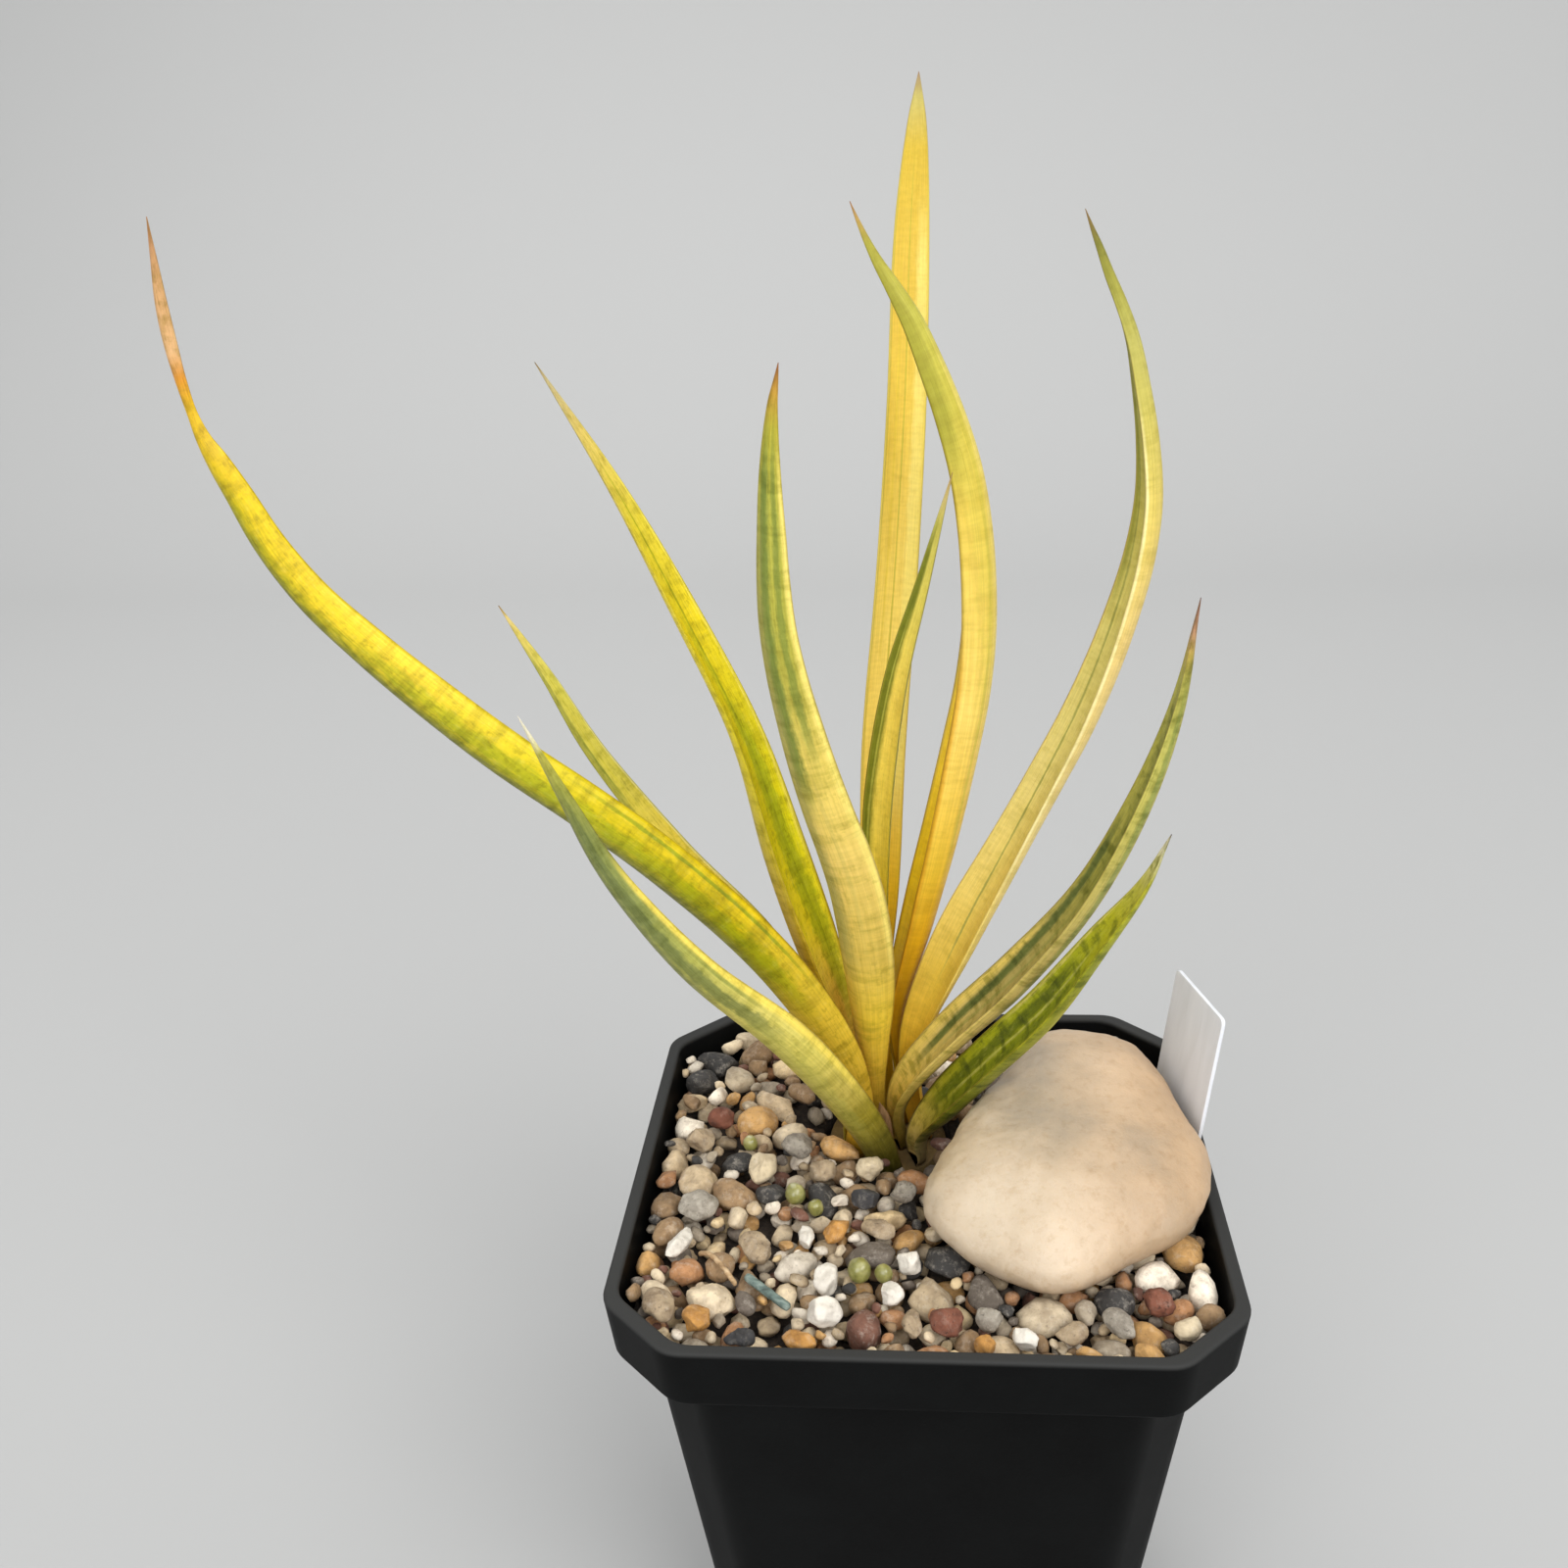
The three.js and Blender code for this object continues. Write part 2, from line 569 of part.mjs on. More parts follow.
// Loose pebbles lying on the bed: x, y, long, wide, high, turn in degrees
const PEBBLE_COLOURS = {
  tan: '#a58d70', cream: '#d9c8a9', white: '#e6e1d8', grey: '#9b958c', amber: '#c08a3c',
  orange: '#d49a4c', red: '#8a4a34', brown: '#6a4a38', dark: '#3c3e43', yellow: '#e2cc94',
};
const PEBBLES = [
  ['disc', -38, -12.5, 8, 6.8, 4.6, 30, 'grey'],
  ['red', -37, 14, 6, 5, 4, 0, 'red'],
  ['yellow', -28, -1, 9.6, 5.4, 4.4, 84, 'yellow'],
  ['oval', -27, -23, 9.4, 5.8, 4, -48, 'tan'],
  ['long_white', -40, -22, 10.4, 3.6, 3.2, 67, 'white'],
  ['upright_white', -15, -30.5, 7.4, 5, 4.2, 84, 'white'],
  ['broad_white', -15.2, -38.2, 7, 6, 4.4, -29, 'white'],
  ['amber', -14.2, -17.6, 7.4, 4.2, 3.8, 54, 'amber'],
  ['slim_white', -19.2, -18.5, 7.8, 3.2, 3, -77, 'white'],
  ['beige', -17.5, -1.5, 6.2, 5.4, 4, 0, 'tan'],
  ['cone', -9, -0.5, 5.6, 5.4, 4.4, 0, 'cream'],
  ['pumice', -3, -7.5, 5.4, 4.8, 3.6, 0, 'grey'],
  ['flat', -7, -17.3, 7.6, 4.6, 3.4, -16, 'tan'],
  ['round_white', -1.8, -25.6, 5.2, 4.8, 4, 0, 'white'],
  ['grey_white', -4.8, -33, 4.6, 4.4, 3.6, 0, 'white'],
  ['upright_tan', -1.4, -39.6, 7.4, 3.6, 3, 87, 'tan'],
  ['block', 4, -39.8, 6.6, 5.4, 4.2, -15, 'brown'],
  ['front_orange', 9.6, -44, 4.2, 3.4, 3, 0, 'orange'],
  ['front_grey', 10.4, -38.2, 5, 4.6, 3.6, 0, 'grey'],
  ['front_white', 15.6, -42.4, 6, 4.2, 3.4, -29, 'white'],
  ['right_beige', 22.6, -41, 6.4, 4.2, 3.2, 20, 'tan'],
  ['banded', 30, -38.6, 7.8, 4.4, 3.6, -53, 'grey'],
  ['right_brown', 36.4, -33.8, 6, 5.2, 4, -30, 'brown'],
  ['right_cream', 40, -39.6, 5.6, 4.4, 3.8, 47, 'cream'],
  ['left_tan', -41, -37.4, 8.4, 5.4, 4.2, -62, 'tan'],
  ['left_amber', -34.6, -40.4, 5.8, 5, 4, 0, 'amber'],
  ['dark', -27.6, -43.6, 6.2, 3.8, 3, 0, 'dark'],
  ['front_amber', -18.5, -43.8, 6.6, 3.8, 3.2, -20, 'amber'],
  ['basalt', -9.6, -9.5, 5.8, 4.6, 3.6, 0, 'dark'],
  ['back_tan', -40, 7, 6, 6, 4.6, 0, 'tan'],
  ['back_speckled', 36.5, 40, 6.6, 5.6, 4.6, 0, 'grey'],
  ['big_grey', -22, 5, 7.6, 5.6, 4.4, -9, 'grey'],
];

function buildPebble(x, y, long, wide, high, turn, salt) {
  const radii = [];
  for (let i = 0; i < 8; i++) {
    const angle = i / 8 * Math.PI * 2;
    const reach = 1 / Math.hypot(Math.cos(angle) / (long / 2), Math.sin(angle) / (wide / 2));
    radii.push(reach * (0.93 + 0.07 * scatter(i, salt, 4)));
  }
  const spin = turn * Math.PI / 180;
  const place = ([px, py, pz]) => [
    x + px * Math.cos(spin) - py * Math.sin(spin),
    y + px * Math.sin(spin) + py * Math.cos(spin),
    pz,
  ];
  const rings = pebbleRings(smoothOutline(radii, 12), high / 2, 6).map((ring) => ring.map(place));
  const poles = [place([0, 0, -high / 2]), place([0, 0, high / 2])];
  const lift = seat(rings.flat().concat(poles), REST_GAP);
  const raise = ([px, py, pz]) => [px, py, pz + lift];
  return skinRings(rings.map((ring) => ring.map(raise)), raise(poles[0]), raise(poles[1]));
}

PEBBLES.forEach(([name, x, y, long, wide, high, turn, colour], i) => {
  const sizes = [x, y, long, wide, high].map((size) => size * PLAN);
  const pebble = buildPebble(...sizes, turn, i);
  addNode(`pebble_${name}`, pebble, PEBBLE_COLOURS[colour], 0.85);
});

// Round slow-release prills lying between the stones: x, y, diameter
const PRILLS = [
  [-21.6, -8.8, 3.9], [-9.9, -28.4, 4.2], [-6, -28.4, 3.2], [-31, 7.2, 3], [-18, -11.2, 3],
];
PRILLS.forEach(([x, y, size], i) => {
  const sizes = [x, y, size, size, size].map((value) => value * PLAN);
  addNode(`prill_${i + 1}`, buildPebble(...sizes, 0, i + 50), '#8f9150', 0.5);
});

// Thin round stalk through a few points
function buildStalk(points, radius, sides, steps) {
  const curve = new THREE.CatmullRomCurve3(points.map((p) => new THREE.Vector3(...p)));
  const rings = [];
  for (let i = 0; i <= steps; i++) {
    const t = i / steps;
    const centre = curve.getPointAt(t);
    const tangent = curve.getTangentAt(t);
    const side = new THREE.Vector3(0, 0, 1).cross(tangent).normalize();
    const up = new THREE.Vector3().crossVectors(tangent, side);
    const ring = [];
    for (let s = 0; s < sides; s++) {
      const turn = s / sides * Math.PI * 2;
      ring.push(centre.clone()
        .addScaledVector(side, radius * Math.cos(turn))
        .addScaledVector(up, radius * Math.sin(turn))
        .toArray());
    }
    rings.push(ring);
  }
  return skinRings(rings, points[0], points[points.length - 1]);
}

// Bits of dry stem lying on the gravel
const twigFoot = bedSurface(-36.4 * PLAN, -23 * PLAN);
addNode('dry_twig', buildStalk([
  [-36.4 * PLAN, -23 * PLAN, twigFoot + 1.2],
  [-34.6 * PLAN, -25.2 * PLAN, BED_TOP + 3.4],
  [-32 * PLAN, -28.6 * PLAN, BED_TOP + 3.9],
  [-29.4 * PLAN, -32.4 * PLAN, BED_TOP + 3.2],
], 0.45, 8, 12), '#c4a26e', 0.8);

const stickFoot = bedSurface(-20.6 * PLAN, -36.4 * PLAN);
addNode('stick_fragment', buildStalk([
  [-28 * PLAN, -30.4 * PLAN, BED_TOP + 3.4],
  [-24.4 * PLAN, -33.4 * PLAN, BED_TOP + 2.9],
  [-20.6 * PLAN, -36.4 * PLAN, stickFoot + 1.5],
], 0.8, 8, 6), '#5f7a68', 0.8);

export default part;
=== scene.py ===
import json
import math

import bmesh
import bpy
import numpy as np
from mathutils import Euler, Matrix, Vector, noise
from mathutils.bvhtree import BVHTree


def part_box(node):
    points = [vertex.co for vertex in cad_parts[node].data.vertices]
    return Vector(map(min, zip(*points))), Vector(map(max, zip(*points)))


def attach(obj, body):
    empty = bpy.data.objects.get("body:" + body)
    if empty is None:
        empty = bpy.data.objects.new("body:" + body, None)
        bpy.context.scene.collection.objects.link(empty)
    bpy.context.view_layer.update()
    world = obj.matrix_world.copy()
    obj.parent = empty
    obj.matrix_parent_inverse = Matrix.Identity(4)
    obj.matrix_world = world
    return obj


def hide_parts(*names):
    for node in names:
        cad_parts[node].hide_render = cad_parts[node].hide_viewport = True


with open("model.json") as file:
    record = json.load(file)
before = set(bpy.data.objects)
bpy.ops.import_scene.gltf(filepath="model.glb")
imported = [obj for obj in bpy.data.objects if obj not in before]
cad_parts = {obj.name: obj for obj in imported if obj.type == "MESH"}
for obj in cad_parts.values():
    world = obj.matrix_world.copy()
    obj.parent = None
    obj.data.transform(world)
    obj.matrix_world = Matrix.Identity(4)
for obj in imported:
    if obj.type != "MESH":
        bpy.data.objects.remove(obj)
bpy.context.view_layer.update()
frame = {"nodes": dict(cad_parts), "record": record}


# ---------------------------------------------------------------- Studio
# A seamless sheet of pale grey paper is floor, curved foot and wall in one.
# Soft panels in front, behind and overhead, the strongest at its front right, share an even sky.
MM = 0.001
PAPER_GREY = "#acacab"
PAPER_HALF_WIDTH = 2.6
PAPER_FRONT = -1.6
PAPER_BACK = 1.25
PAPER_BEND = 0.5
PAPER_TOP = 2.4
PAPER_STEPS = 24
PAPER_DROP = 0.0004


def paint(code):
    """Linear colour with alpha from a hex code."""
    parts = [int(code[i : i + 2], 16) / 255 for i in (1, 3, 5)]
    return [c / 12.92 if c <= 0.04045 else ((c + 0.055) / 1.055) ** 2.4 for c in parts] + [1.0]


def feed(tree, plug, value):
    """Links a socket to an input; a hex code is painted and any other value is set."""
    if isinstance(value, bpy.types.NodeSocket):
        tree.links.new(value, plug)
    else:
        plug.default_value = paint(value) if str(value).startswith("#") else value


def wire(tree, node, *values, **named_values):
    """Feeds the inputs of a node, by their order or by their names."""
    for plug, value in zip(node.inputs, values):
        feed(tree, plug, value)
    for title, value in named_values.items():
        feed(tree, node.inputs[title.replace("_", " ")], value)
    return node


def new_material(name, colour="#808080", roughness=0.5, **sockets):
    """Material with one Principled shader; returns the material, its node tree and the shader."""
    material = bpy.data.materials.new(name)
    material.use_nodes = True
    tree = material.node_tree
    shader = tree.nodes["Principled BSDF"]
    return material, tree, wire(tree, shader, Base_Color=colour, Roughness=roughness, **sockets)


def new_mesh(name, points, faces):
    mesh = bpy.data.meshes.new(name)
    mesh.from_pydata([tuple(p) for p in points], [], [tuple(f) for f in faces])
    mesh.update()
    return mesh


def add_object(name, data):
    """Object in the scene around a mesh, a light or a camera."""
    made = bpy.data.objects.new(name, data)
    bpy.context.scene.collection.objects.link(made)
    return made


def new_piece(name, points, faces):
    """Smooth mesh object at the origin with its place in its mesh."""
    mesh = new_mesh(name, points, faces)
    mesh.shade_smooth()
    return add_object(name, mesh)


def build_backdrop():
    profile = [(PAPER_FRONT, 0.0), (PAPER_BACK - PAPER_BEND, 0.0)]
    for k in range(1, PAPER_STEPS + 1):
        turn = k / PAPER_STEPS * math.pi / 2
        profile.append((
            PAPER_BACK - PAPER_BEND + PAPER_BEND * math.sin(turn),
            PAPER_BEND - PAPER_BEND * math.cos(turn),
        ))
    profile.append((PAPER_BACK, PAPER_TOP))
    points = []
    for y, z in profile:
        points += [(-PAPER_HALF_WIDTH, y, z - PAPER_DROP), (PAPER_HALF_WIDTH, y, z - PAPER_DROP)]
    faces = [(2 * k, 2 * k + 1, 2 * k + 3, 2 * k + 2) for k in range(len(profile) - 1)]
    backdrop = new_piece("backdrop", points, faces)
    backdrop.data.materials.append(new_material("grey_paper", PAPER_GREY, 0.9)[0])


def add_panel(name, place, target, size, power):
    data = bpy.data.lights.new(name, "AREA")
    data.shape = "RECTANGLE"
    data.size, data.size_y = size
    data.energy = power
    panel = add_object(name, data)
    panel.location = place
    panel.rotation_euler = (Vector(target) - Vector(place)).to_track_quat("-Z", "Y").to_euler()


build_backdrop()
add_panel("key_panel", (1.05, -1.4, 1.45), (0, 0, 0.12), (1.3, 1.3), 29)
add_panel("fill_panel", (-0.5, -1.7, 0.95), (0, 0, 0.08), (1.5, 1.5), 24)
add_panel("rear_panel", (-0.35, 0.95, 1.15), (0, 0, 0.15), (0.9, 0.9), 6)
add_panel("wall_panel", (0.2, 0.1, 1.7), (0, 0.9, 0.3), (2.2, 1.2), 11)

world = bpy.data.worlds.new("even_sky")
world.use_nodes = True
wire(world.node_tree, world.node_tree.nodes["Background"], Color="#eef0f2", Strength=0.62)
bpy.context.scene.world = world
bpy.context.scene.view_settings.view_transform = "Standard"

camera_data = bpy.data.cameras.new("camera")
camera_data.sensor_width = 36
camera_data.lens = 36.49
camera_data.clip_start = 0.01
camera = add_object("camera", camera_data)
camera.matrix_world = (
    Matrix.Translation((0.0005, -0.2344, 0.2668))
    @ Matrix.Rotation(0.0937, 4, "Z")
    @ Matrix.Rotation(math.pi / 2 - 0.3863, 4, "X")
    @ Matrix.Rotation(-0.0402, 4, "Z")
)
bpy.context.scene.camera = camera


# ---------------------------------------------------------------- Pot
# Square nursery pot with cut corners, moulded in one shot from matt black polypropylene.
# The stiff rim band stands out from the tapering body; the floor has a recess and four drains.
POT_LOW, POT_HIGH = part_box("pot")
POT_HEIGHT = (POT_HIGH.z - POT_LOW.z) / MM
RIM_HALF = (POT_HIGH.x - POT_LOW.x) / MM / 2
RIM_CUT = 11.4
BAND_DEPTH = 10.8
BAND_DRAFT = 1.1
BAND_STEP = 5.0
BODY_HALF_FOOT = 33.0
BODY_CUT_SHARE = 0.8
WALL = 1.3
LIP = 2.2
POT_FLOOR = 2.6
FOOT_RECESS = 1.5
DRAIN_RADIUS = 4.0

BAND_FOOT = POT_HEIGHT - BAND_DEPTH
BAND_HALF_FOOT = RIM_HALF - BAND_DRAFT
BODY_HALF_TOP = BAND_HALF_FOOT - BAND_STEP


def cut_square(half, cut, rounding, per_corner=6, hold=0.5):
    """Outline of a square with cut, softly rounded corners; extra points keep the flats flat."""
    straight = half - cut
    corners = []
    for quarter in range(4):
        turn = quarter * math.pi / 2
        for x, y in ((half, -straight), (half, straight)):
            corners.append((
                x * math.cos(turn) - y * math.sin(turn),
                x * math.sin(turn) + y * math.cos(turn),
            ))
    outline = []
    for i, corner in enumerate(corners):
        corner = np.array(corner)
        before = np.array(corners[i - 1]) - corner
        after = np.array(corners[(i + 1) % 8]) - corner
        before /= np.linalg.norm(before)
        after /= np.linalg.norm(after)
        outline.append(corner + before * (rounding + hold))
        for k in range(per_corner):
            t = k / (per_corner - 1)
            start = corner + before * rounding
            end = corner + after * rounding
            outline.append((1 - t) ** 2 * start + 2 * t * (1 - t) * corner + t * t * end)
        outline.append(corner + after * (rounding + hold))
    return np.array(outline)


def soften(path, steps=4, hold=0.4):
    """Rounds the corners of a path of (half, height, cut, radius), with holding points beside them."""
    path = np.array(path, float)
    result = [path[0][:3]]
    for i in range(1, len(path) - 1):
        here, radius = path[i][:3], path[i][3]
        before = path[i - 1][:3] - here
        after = path[i + 1][:3] - here
        reach_before = np.linalg.norm(before[:2])
        reach_after = np.linalg.norm(after[:2])
        radius = min(radius, reach_before * 0.42, reach_after * 0.42)
        spare = min(hold, reach_before * 0.07, reach_after * 0.07)
        start = here + before / reach_before * radius
        end = here + after / reach_after * radius
        result.append(here + before / reach_before * (radius + spare))
        for k in range(steps + 1):
            t = k / steps
            result.append((1 - t) ** 2 * start + 2 * t * (1 - t) * here + t * t * end)
        result.append(here + after / reach_after * (radius + spare))
    result.append(path[-1][:3])
    return result


def skin(rings, first_pole=None, last_pole=None):
    """Points and outward faces of a skin over rings of equal length."""
    sides = len(rings[0])
    points = [tuple(p) for ring in rings for p in ring]
    faces = []
    for r in range(len(rings) - 1):
        for s in range(sides):
            a = r * sides + s
            b = r * sides + (s + 1) % sides
            faces.append((a, b, b + sides, a + sides))
    top = (len(rings) - 1) * sides
    if first_pole is not None:
        points.append(tuple(first_pole))
        faces += [(len(points) - 1, (s + 1) % sides, s) for s in range(sides)]
    if last_pole is not None:
        points.append(tuple(last_pole))
        faces += [(len(points) - 1, top + s, top + (s + 1) % sides) for s in range(sides)]
    return points, faces


def turn_outwards(piece):
    """Welds the mesh and points its faces outwards."""
    work = bmesh.new()
    work.from_mesh(piece.data)
    bmesh.ops.remove_doubles(work, verts=work.verts, dist=1e-7)
    bmesh.ops.recalc_face_normals(work, faces=work.faces)
    work.to_mesh(piece.data)
    work.free()
    piece.data.update()


def body_half(z):
    return BODY_HALF_FOOT + (BODY_HALF_TOP - BODY_HALF_FOOT) * z / BAND_FOOT


def band_half(z):
    return BAND_HALF_FOOT + BAND_DRAFT * (z - BAND_FOOT) / BAND_DEPTH


def body_cut(half):
    return RIM_CUT * BODY_CUT_SHARE * half / BODY_HALF_TOP


def rim_cut(half):
    return RIM_CUT * half / RIM_HALF


def build_pot():
    ring_half = BODY_HALF_FOOT * 0.84
    pad = BODY_HALF_FOOT * 0.3
    ledge = BAND_FOOT + WALL
    inner_body = body_half(ledge) - WALL
    inner_band = band_half(ledge) - LIP
    path = [
        (ring_half - 1, FOOT_RECESS, ring_half * 0.2, 0),
        (ring_half - 0.6, FOOT_RECESS, ring_half * 0.2, 0.3),
        (ring_half, 0, ring_half * 0.2, 0.3),
        (body_half(0), 0, body_cut(body_half(0)), 0.9),
        (BODY_HALF_TOP, BAND_FOOT, body_cut(BODY_HALF_TOP), 0.7),
        (BAND_HALF_FOOT, BAND_FOOT, rim_cut(BAND_HALF_FOOT), 0.6),
        (RIM_HALF, POT_HEIGHT, RIM_CUT, 0.55),
        (RIM_HALF - LIP, POT_HEIGHT, rim_cut(RIM_HALF - LIP), 0.45),
        (inner_band, ledge, rim_cut(inner_band), 0.6),
        (inner_body, ledge, body_cut(inner_body), 0.5),
        (body_half(POT_FLOOR) - WALL, POT_FLOOR, body_cut(body_half(POT_FLOOR) - WALL), 1.4),
        (4, POT_FLOOR, 1, 0),
    ]
    rings = []
    for half, z, cut in soften(path):
        outline = cut_square(half, cut, min(2.6, half * 0.08), hold=min(0.5, half * 0.01))
        rings.append([(x * MM, y * MM, z * MM) for x, y in outline])
    around = cut_square(ring_half, ring_half * 0.2, 1)
    turns = np.arctan2(around[:, 1], around[:, 0])
    foot = []
    for radius, z in ((0.5 * pad, 0), (pad - 0.3, 0), (pad, 0.3), (pad + 0.5, FOOT_RECESS)):
        ring = [(radius * math.cos(a) * MM, radius * math.sin(a) * MM, z * MM) for a in turns]
        foot.append(ring)
    points, faces = skin(foot + rings, (0, 0, 0), (0, 0, POT_FLOOR * MM))
    pot = new_piece("nursery_pot", points, faces)
    turn_outwards(pot)
    drill = bmesh.new()
    for quarter in range(4):
        turn = math.pi / 4 + quarter * math.pi / 2
        reach = BODY_HALF_FOOT * 0.62 * MM
        place = Matrix.Translation((reach * math.cos(turn), reach * math.sin(turn), 0.002))
        bmesh.ops.create_cone(
            drill, cap_ends=True, segments=40, radius1=DRAIN_RADIUS * MM,
            radius2=DRAIN_RADIUS * MM, depth=0.009, matrix=place,
        )
    cutter_mesh = bpy.data.meshes.new("drains")
    drill.to_mesh(cutter_mesh)
    drill.free()
    cutter = add_object("drains", cutter_mesh)
    drains = pot.modifiers.new("drains", "BOOLEAN")
    drains.operation = "DIFFERENCE"
    drains.solver = "EXACT"
    drains.object = cutter
    settle(pot)
    bpy.data.objects.remove(cutter)
    return pot


def settle(piece):
    """Bakes the modifiers of a piece into a plain mesh."""
    bpy.context.view_layer.update()
    graph = bpy.context.evaluated_depsgraph_get()
    mesh = bpy.data.meshes.new_from_object(piece.evaluated_get(graph))
    piece.modifiers.clear()
    piece.data = mesh


def add_node(tree, kind, *values, **named_values):
    return wire(tree, tree.nodes.new(kind), *values, **named_values)


def add_ramp(tree, factor, stops, interpolation="LINEAR"):
    """Colour ramp over a factor, from (position, hex code) stops; returns its colour."""
    ramp = add_node(tree, "ShaderNodeValToRGB", factor)
    ramp.color_ramp.interpolation = interpolation
    elements = ramp.color_ramp.elements
    while len(elements) < len(stops):
        elements.new(1)
    for element, (position, code) in zip(elements, stops):
        element.position = position
        element.color = paint(code)
    return ramp.outputs["Color"]


def object_noise(tree, scale, detail=5, roughness=0.6, stretch=(1, 1, 1)):
    """Noise on object coordinates, finer along an axis with a larger stretch."""
    place = tree.nodes.new("ShaderNodeTexCoord").outputs["Object"]
    place = add_node(tree, "ShaderNodeMapping", Vector=place, Scale=stretch).outputs[0]
    return add_node(
        tree, "ShaderNodeTexNoise", Vector=place, Scale=scale, Detail=detail, Roughness=roughness,
    ).outputs["Fac"]


def mixed_colours(tree, scale, stops, *noise_values, **named_noise_values):
    """Noise through a colour ramp; returns the noise and the colour."""
    texture = object_noise(tree, scale, *noise_values, **named_noise_values)
    return texture, add_ramp(tree, texture, stops)


def object_axes(tree):
    """Object coordinates of the shaded point, one socket for each axis."""
    place = tree.nodes.new("ShaderNodeTexCoord").outputs["Object"]
    return add_node(tree, "ShaderNodeSeparateXYZ", place).outputs


def calculate(tree, operation, *values):
    """Math node on sockets or numbers; returns its output."""
    node = tree.nodes.new("ShaderNodeMath")
    node.operation = operation
    return wire(tree, node, *values).outputs[0]


def product(tree, *values):
    """Product of two or more sockets or numbers."""
    result = values[0]
    for value in values[1:]:
        result = calculate(tree, "MULTIPLY", result, value)
    return result


def span(tree, value, low, high, to_low=0.0, to_high=1.0, kind="SMOOTHSTEP"):
    """Step of a value between two limits, which may be sockets or numbers."""
    node = tree.nodes.new("ShaderNodeMapRange")
    node.interpolation_type = kind
    wire(tree, node, Value=value, From_Min=low, From_Max=high, To_Min=to_low, To_Max=to_high)
    return node.outputs["Result"]


def mix_colours(tree, kind, factor, first, second):
    """Mix node on colours given as sockets or hex codes; returns its colour output."""
    node = tree.nodes.new("ShaderNodeMix")
    node.data_type = "RGBA"
    node.blend_type = kind
    for place, value in ((0, factor), (6, first), (7, second)):
        feed(tree, node.inputs[place], value)
    return node.outputs[2]


def add_bump(tree, shader, height, distance, strength=1.0):
    bump = add_node(tree, "ShaderNodeBump", Strength=strength, Distance=distance, Height=height)
    wire(tree, shader, Normal=bump.outputs["Normal"])


def pot_material():
    material, tree, shader = new_material(
        "black_polypropylene", "#0c0c0d", 0.5, Specular_IOR_Level=0.05,
    )
    cloud, tint = mixed_colours(tree, 45, [(0.3, "#080808"), (0.75, "#0f1010")], 6, 0.65)
    height = object_axes(tree)["Z"]
    # Painted highlight: the top millimetre of the rim is mixed towards light grey, as light caught along
    # the lip.
    painted_rim_highlight = span(tree, height, POT_HIGH.z - 1.0 * MM, POT_HIGH.z - 0.1 * MM, 0, 0.8)
    wire(
        tree, shader, Base_Color=mix_colours(tree, "MIX", painted_rim_highlight, tint, "#3c3c3b"),
        Roughness=span(tree, cloud, 0, 1, 0.42, 0.62, "LINEAR"),
    )
    add_bump(tree, shader, object_noise(tree, 2600, 3, 0.5), 0.00008, 0.25)
    return material


pot = build_pot()
pot.data.materials.clear()
pot.data.materials.append(pot_material())
pot.data.set_sharp_from_angle(angle=math.radians(50))
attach(pot, "root")
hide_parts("pot")


# ---------------------------------------------------------------- Potting mix and crown
# Damp peat and bark fill the pot up to the gravel; it shows only through the drains.
# The crown is the short, fibrous rootstock that the leaves grow from, sunk in the gravel.
def grainy_material(name, scale, stops, depth, detail=5, stretch=(1, 1, 1), **values):
    """Material with clouded colours and a bump from one noise."""
    material, tree, shader = new_material(name, **values)
    texture, colour = mixed_colours(tree, scale, stops, detail, stretch=stretch)
    wire(tree, shader, Base_Color=colour)
    add_bump(tree, shader, texture, depth)
    return material


peat = grainy_material(
    "peat_and_bark", 420, [(0.3, "#1d140e"), (0.55, "#3b2a1d"), (0.8, "#5e4631")], 0.0012,
    roughness=0.95,
)
fibre = grainy_material(
    "crown_fibre", 160, [(0.3, "#4a3920"), (0.6, "#7a6438"), (0.8, "#a08d52")], 0.0008,
    stretch=(1, 1, 0.15), roughness=0.95,
)
for node_name, finish in (("potting_mix", peat), ("crown", fibre)):
    node = frame["nodes"][node_name]
    node.data.materials.clear()
    node.data.materials.append(finish)


# ---------------------------------------------------------------- Leaves
# Eleven stiff, fleshy leaves fan out from the crown: rounded back, channelled face, needle tip.
# Each is grown over the rings of its own solid, with far finer steps along it and round it.
BACK_STEPS = 26
FACE_STEPS = 18
RING_STEP = 0.9
# Points in a ring of the solid, and where its right margin and the middles of its sides come.
RING_POINTS = 14
RIGHT_MARGIN = 8
BACK_MIDDLE = 4
FACE_MIDDLE = 11


def read_rings(node_name):
    """Rings of a lofted solid from foot to tip, each walked round in order, and its tip."""
    work = bmesh.new()
    work.from_mesh(frame["nodes"][node_name].data)
    bmesh.ops.remove_doubles(work, verts=work.verts, dist=2e-6)
    lowest = min(v.co.z for v in work.verts)
    cap = [f for f in work.faces if max(v.co.z for v in f.verts) < lowest + 1e-4]
    bmesh.ops.delete(work, geom=cap, context="FACES")
    work.verts.ensure_lookup_table()
    top = max((v for v in work.verts if len(v.link_edges) == RING_POINTS), key=lambda v: v.co.z)
    rings = []
    seen = {top}
    layer = {top}
    while True:
        layer = {e.other_vert(v) for v in layer for e in v.link_edges} - seen
        seen |= layer
        if len(layer) != RING_POINTS:
            break
        loop = [min(layer, key=lambda v: v.index)]
        while len(loop) < len(layer):
            beside = [e.other_vert(loop[-1]) for e in loop[-1].link_edges]
            loop.append([v for v in beside if v in layer and v not in loop][0])
        rings.append(np.array([v.co for v in loop]) / MM)
    tip = np.array(top.co) / MM
    work.free()
    return rings[::-1], tip


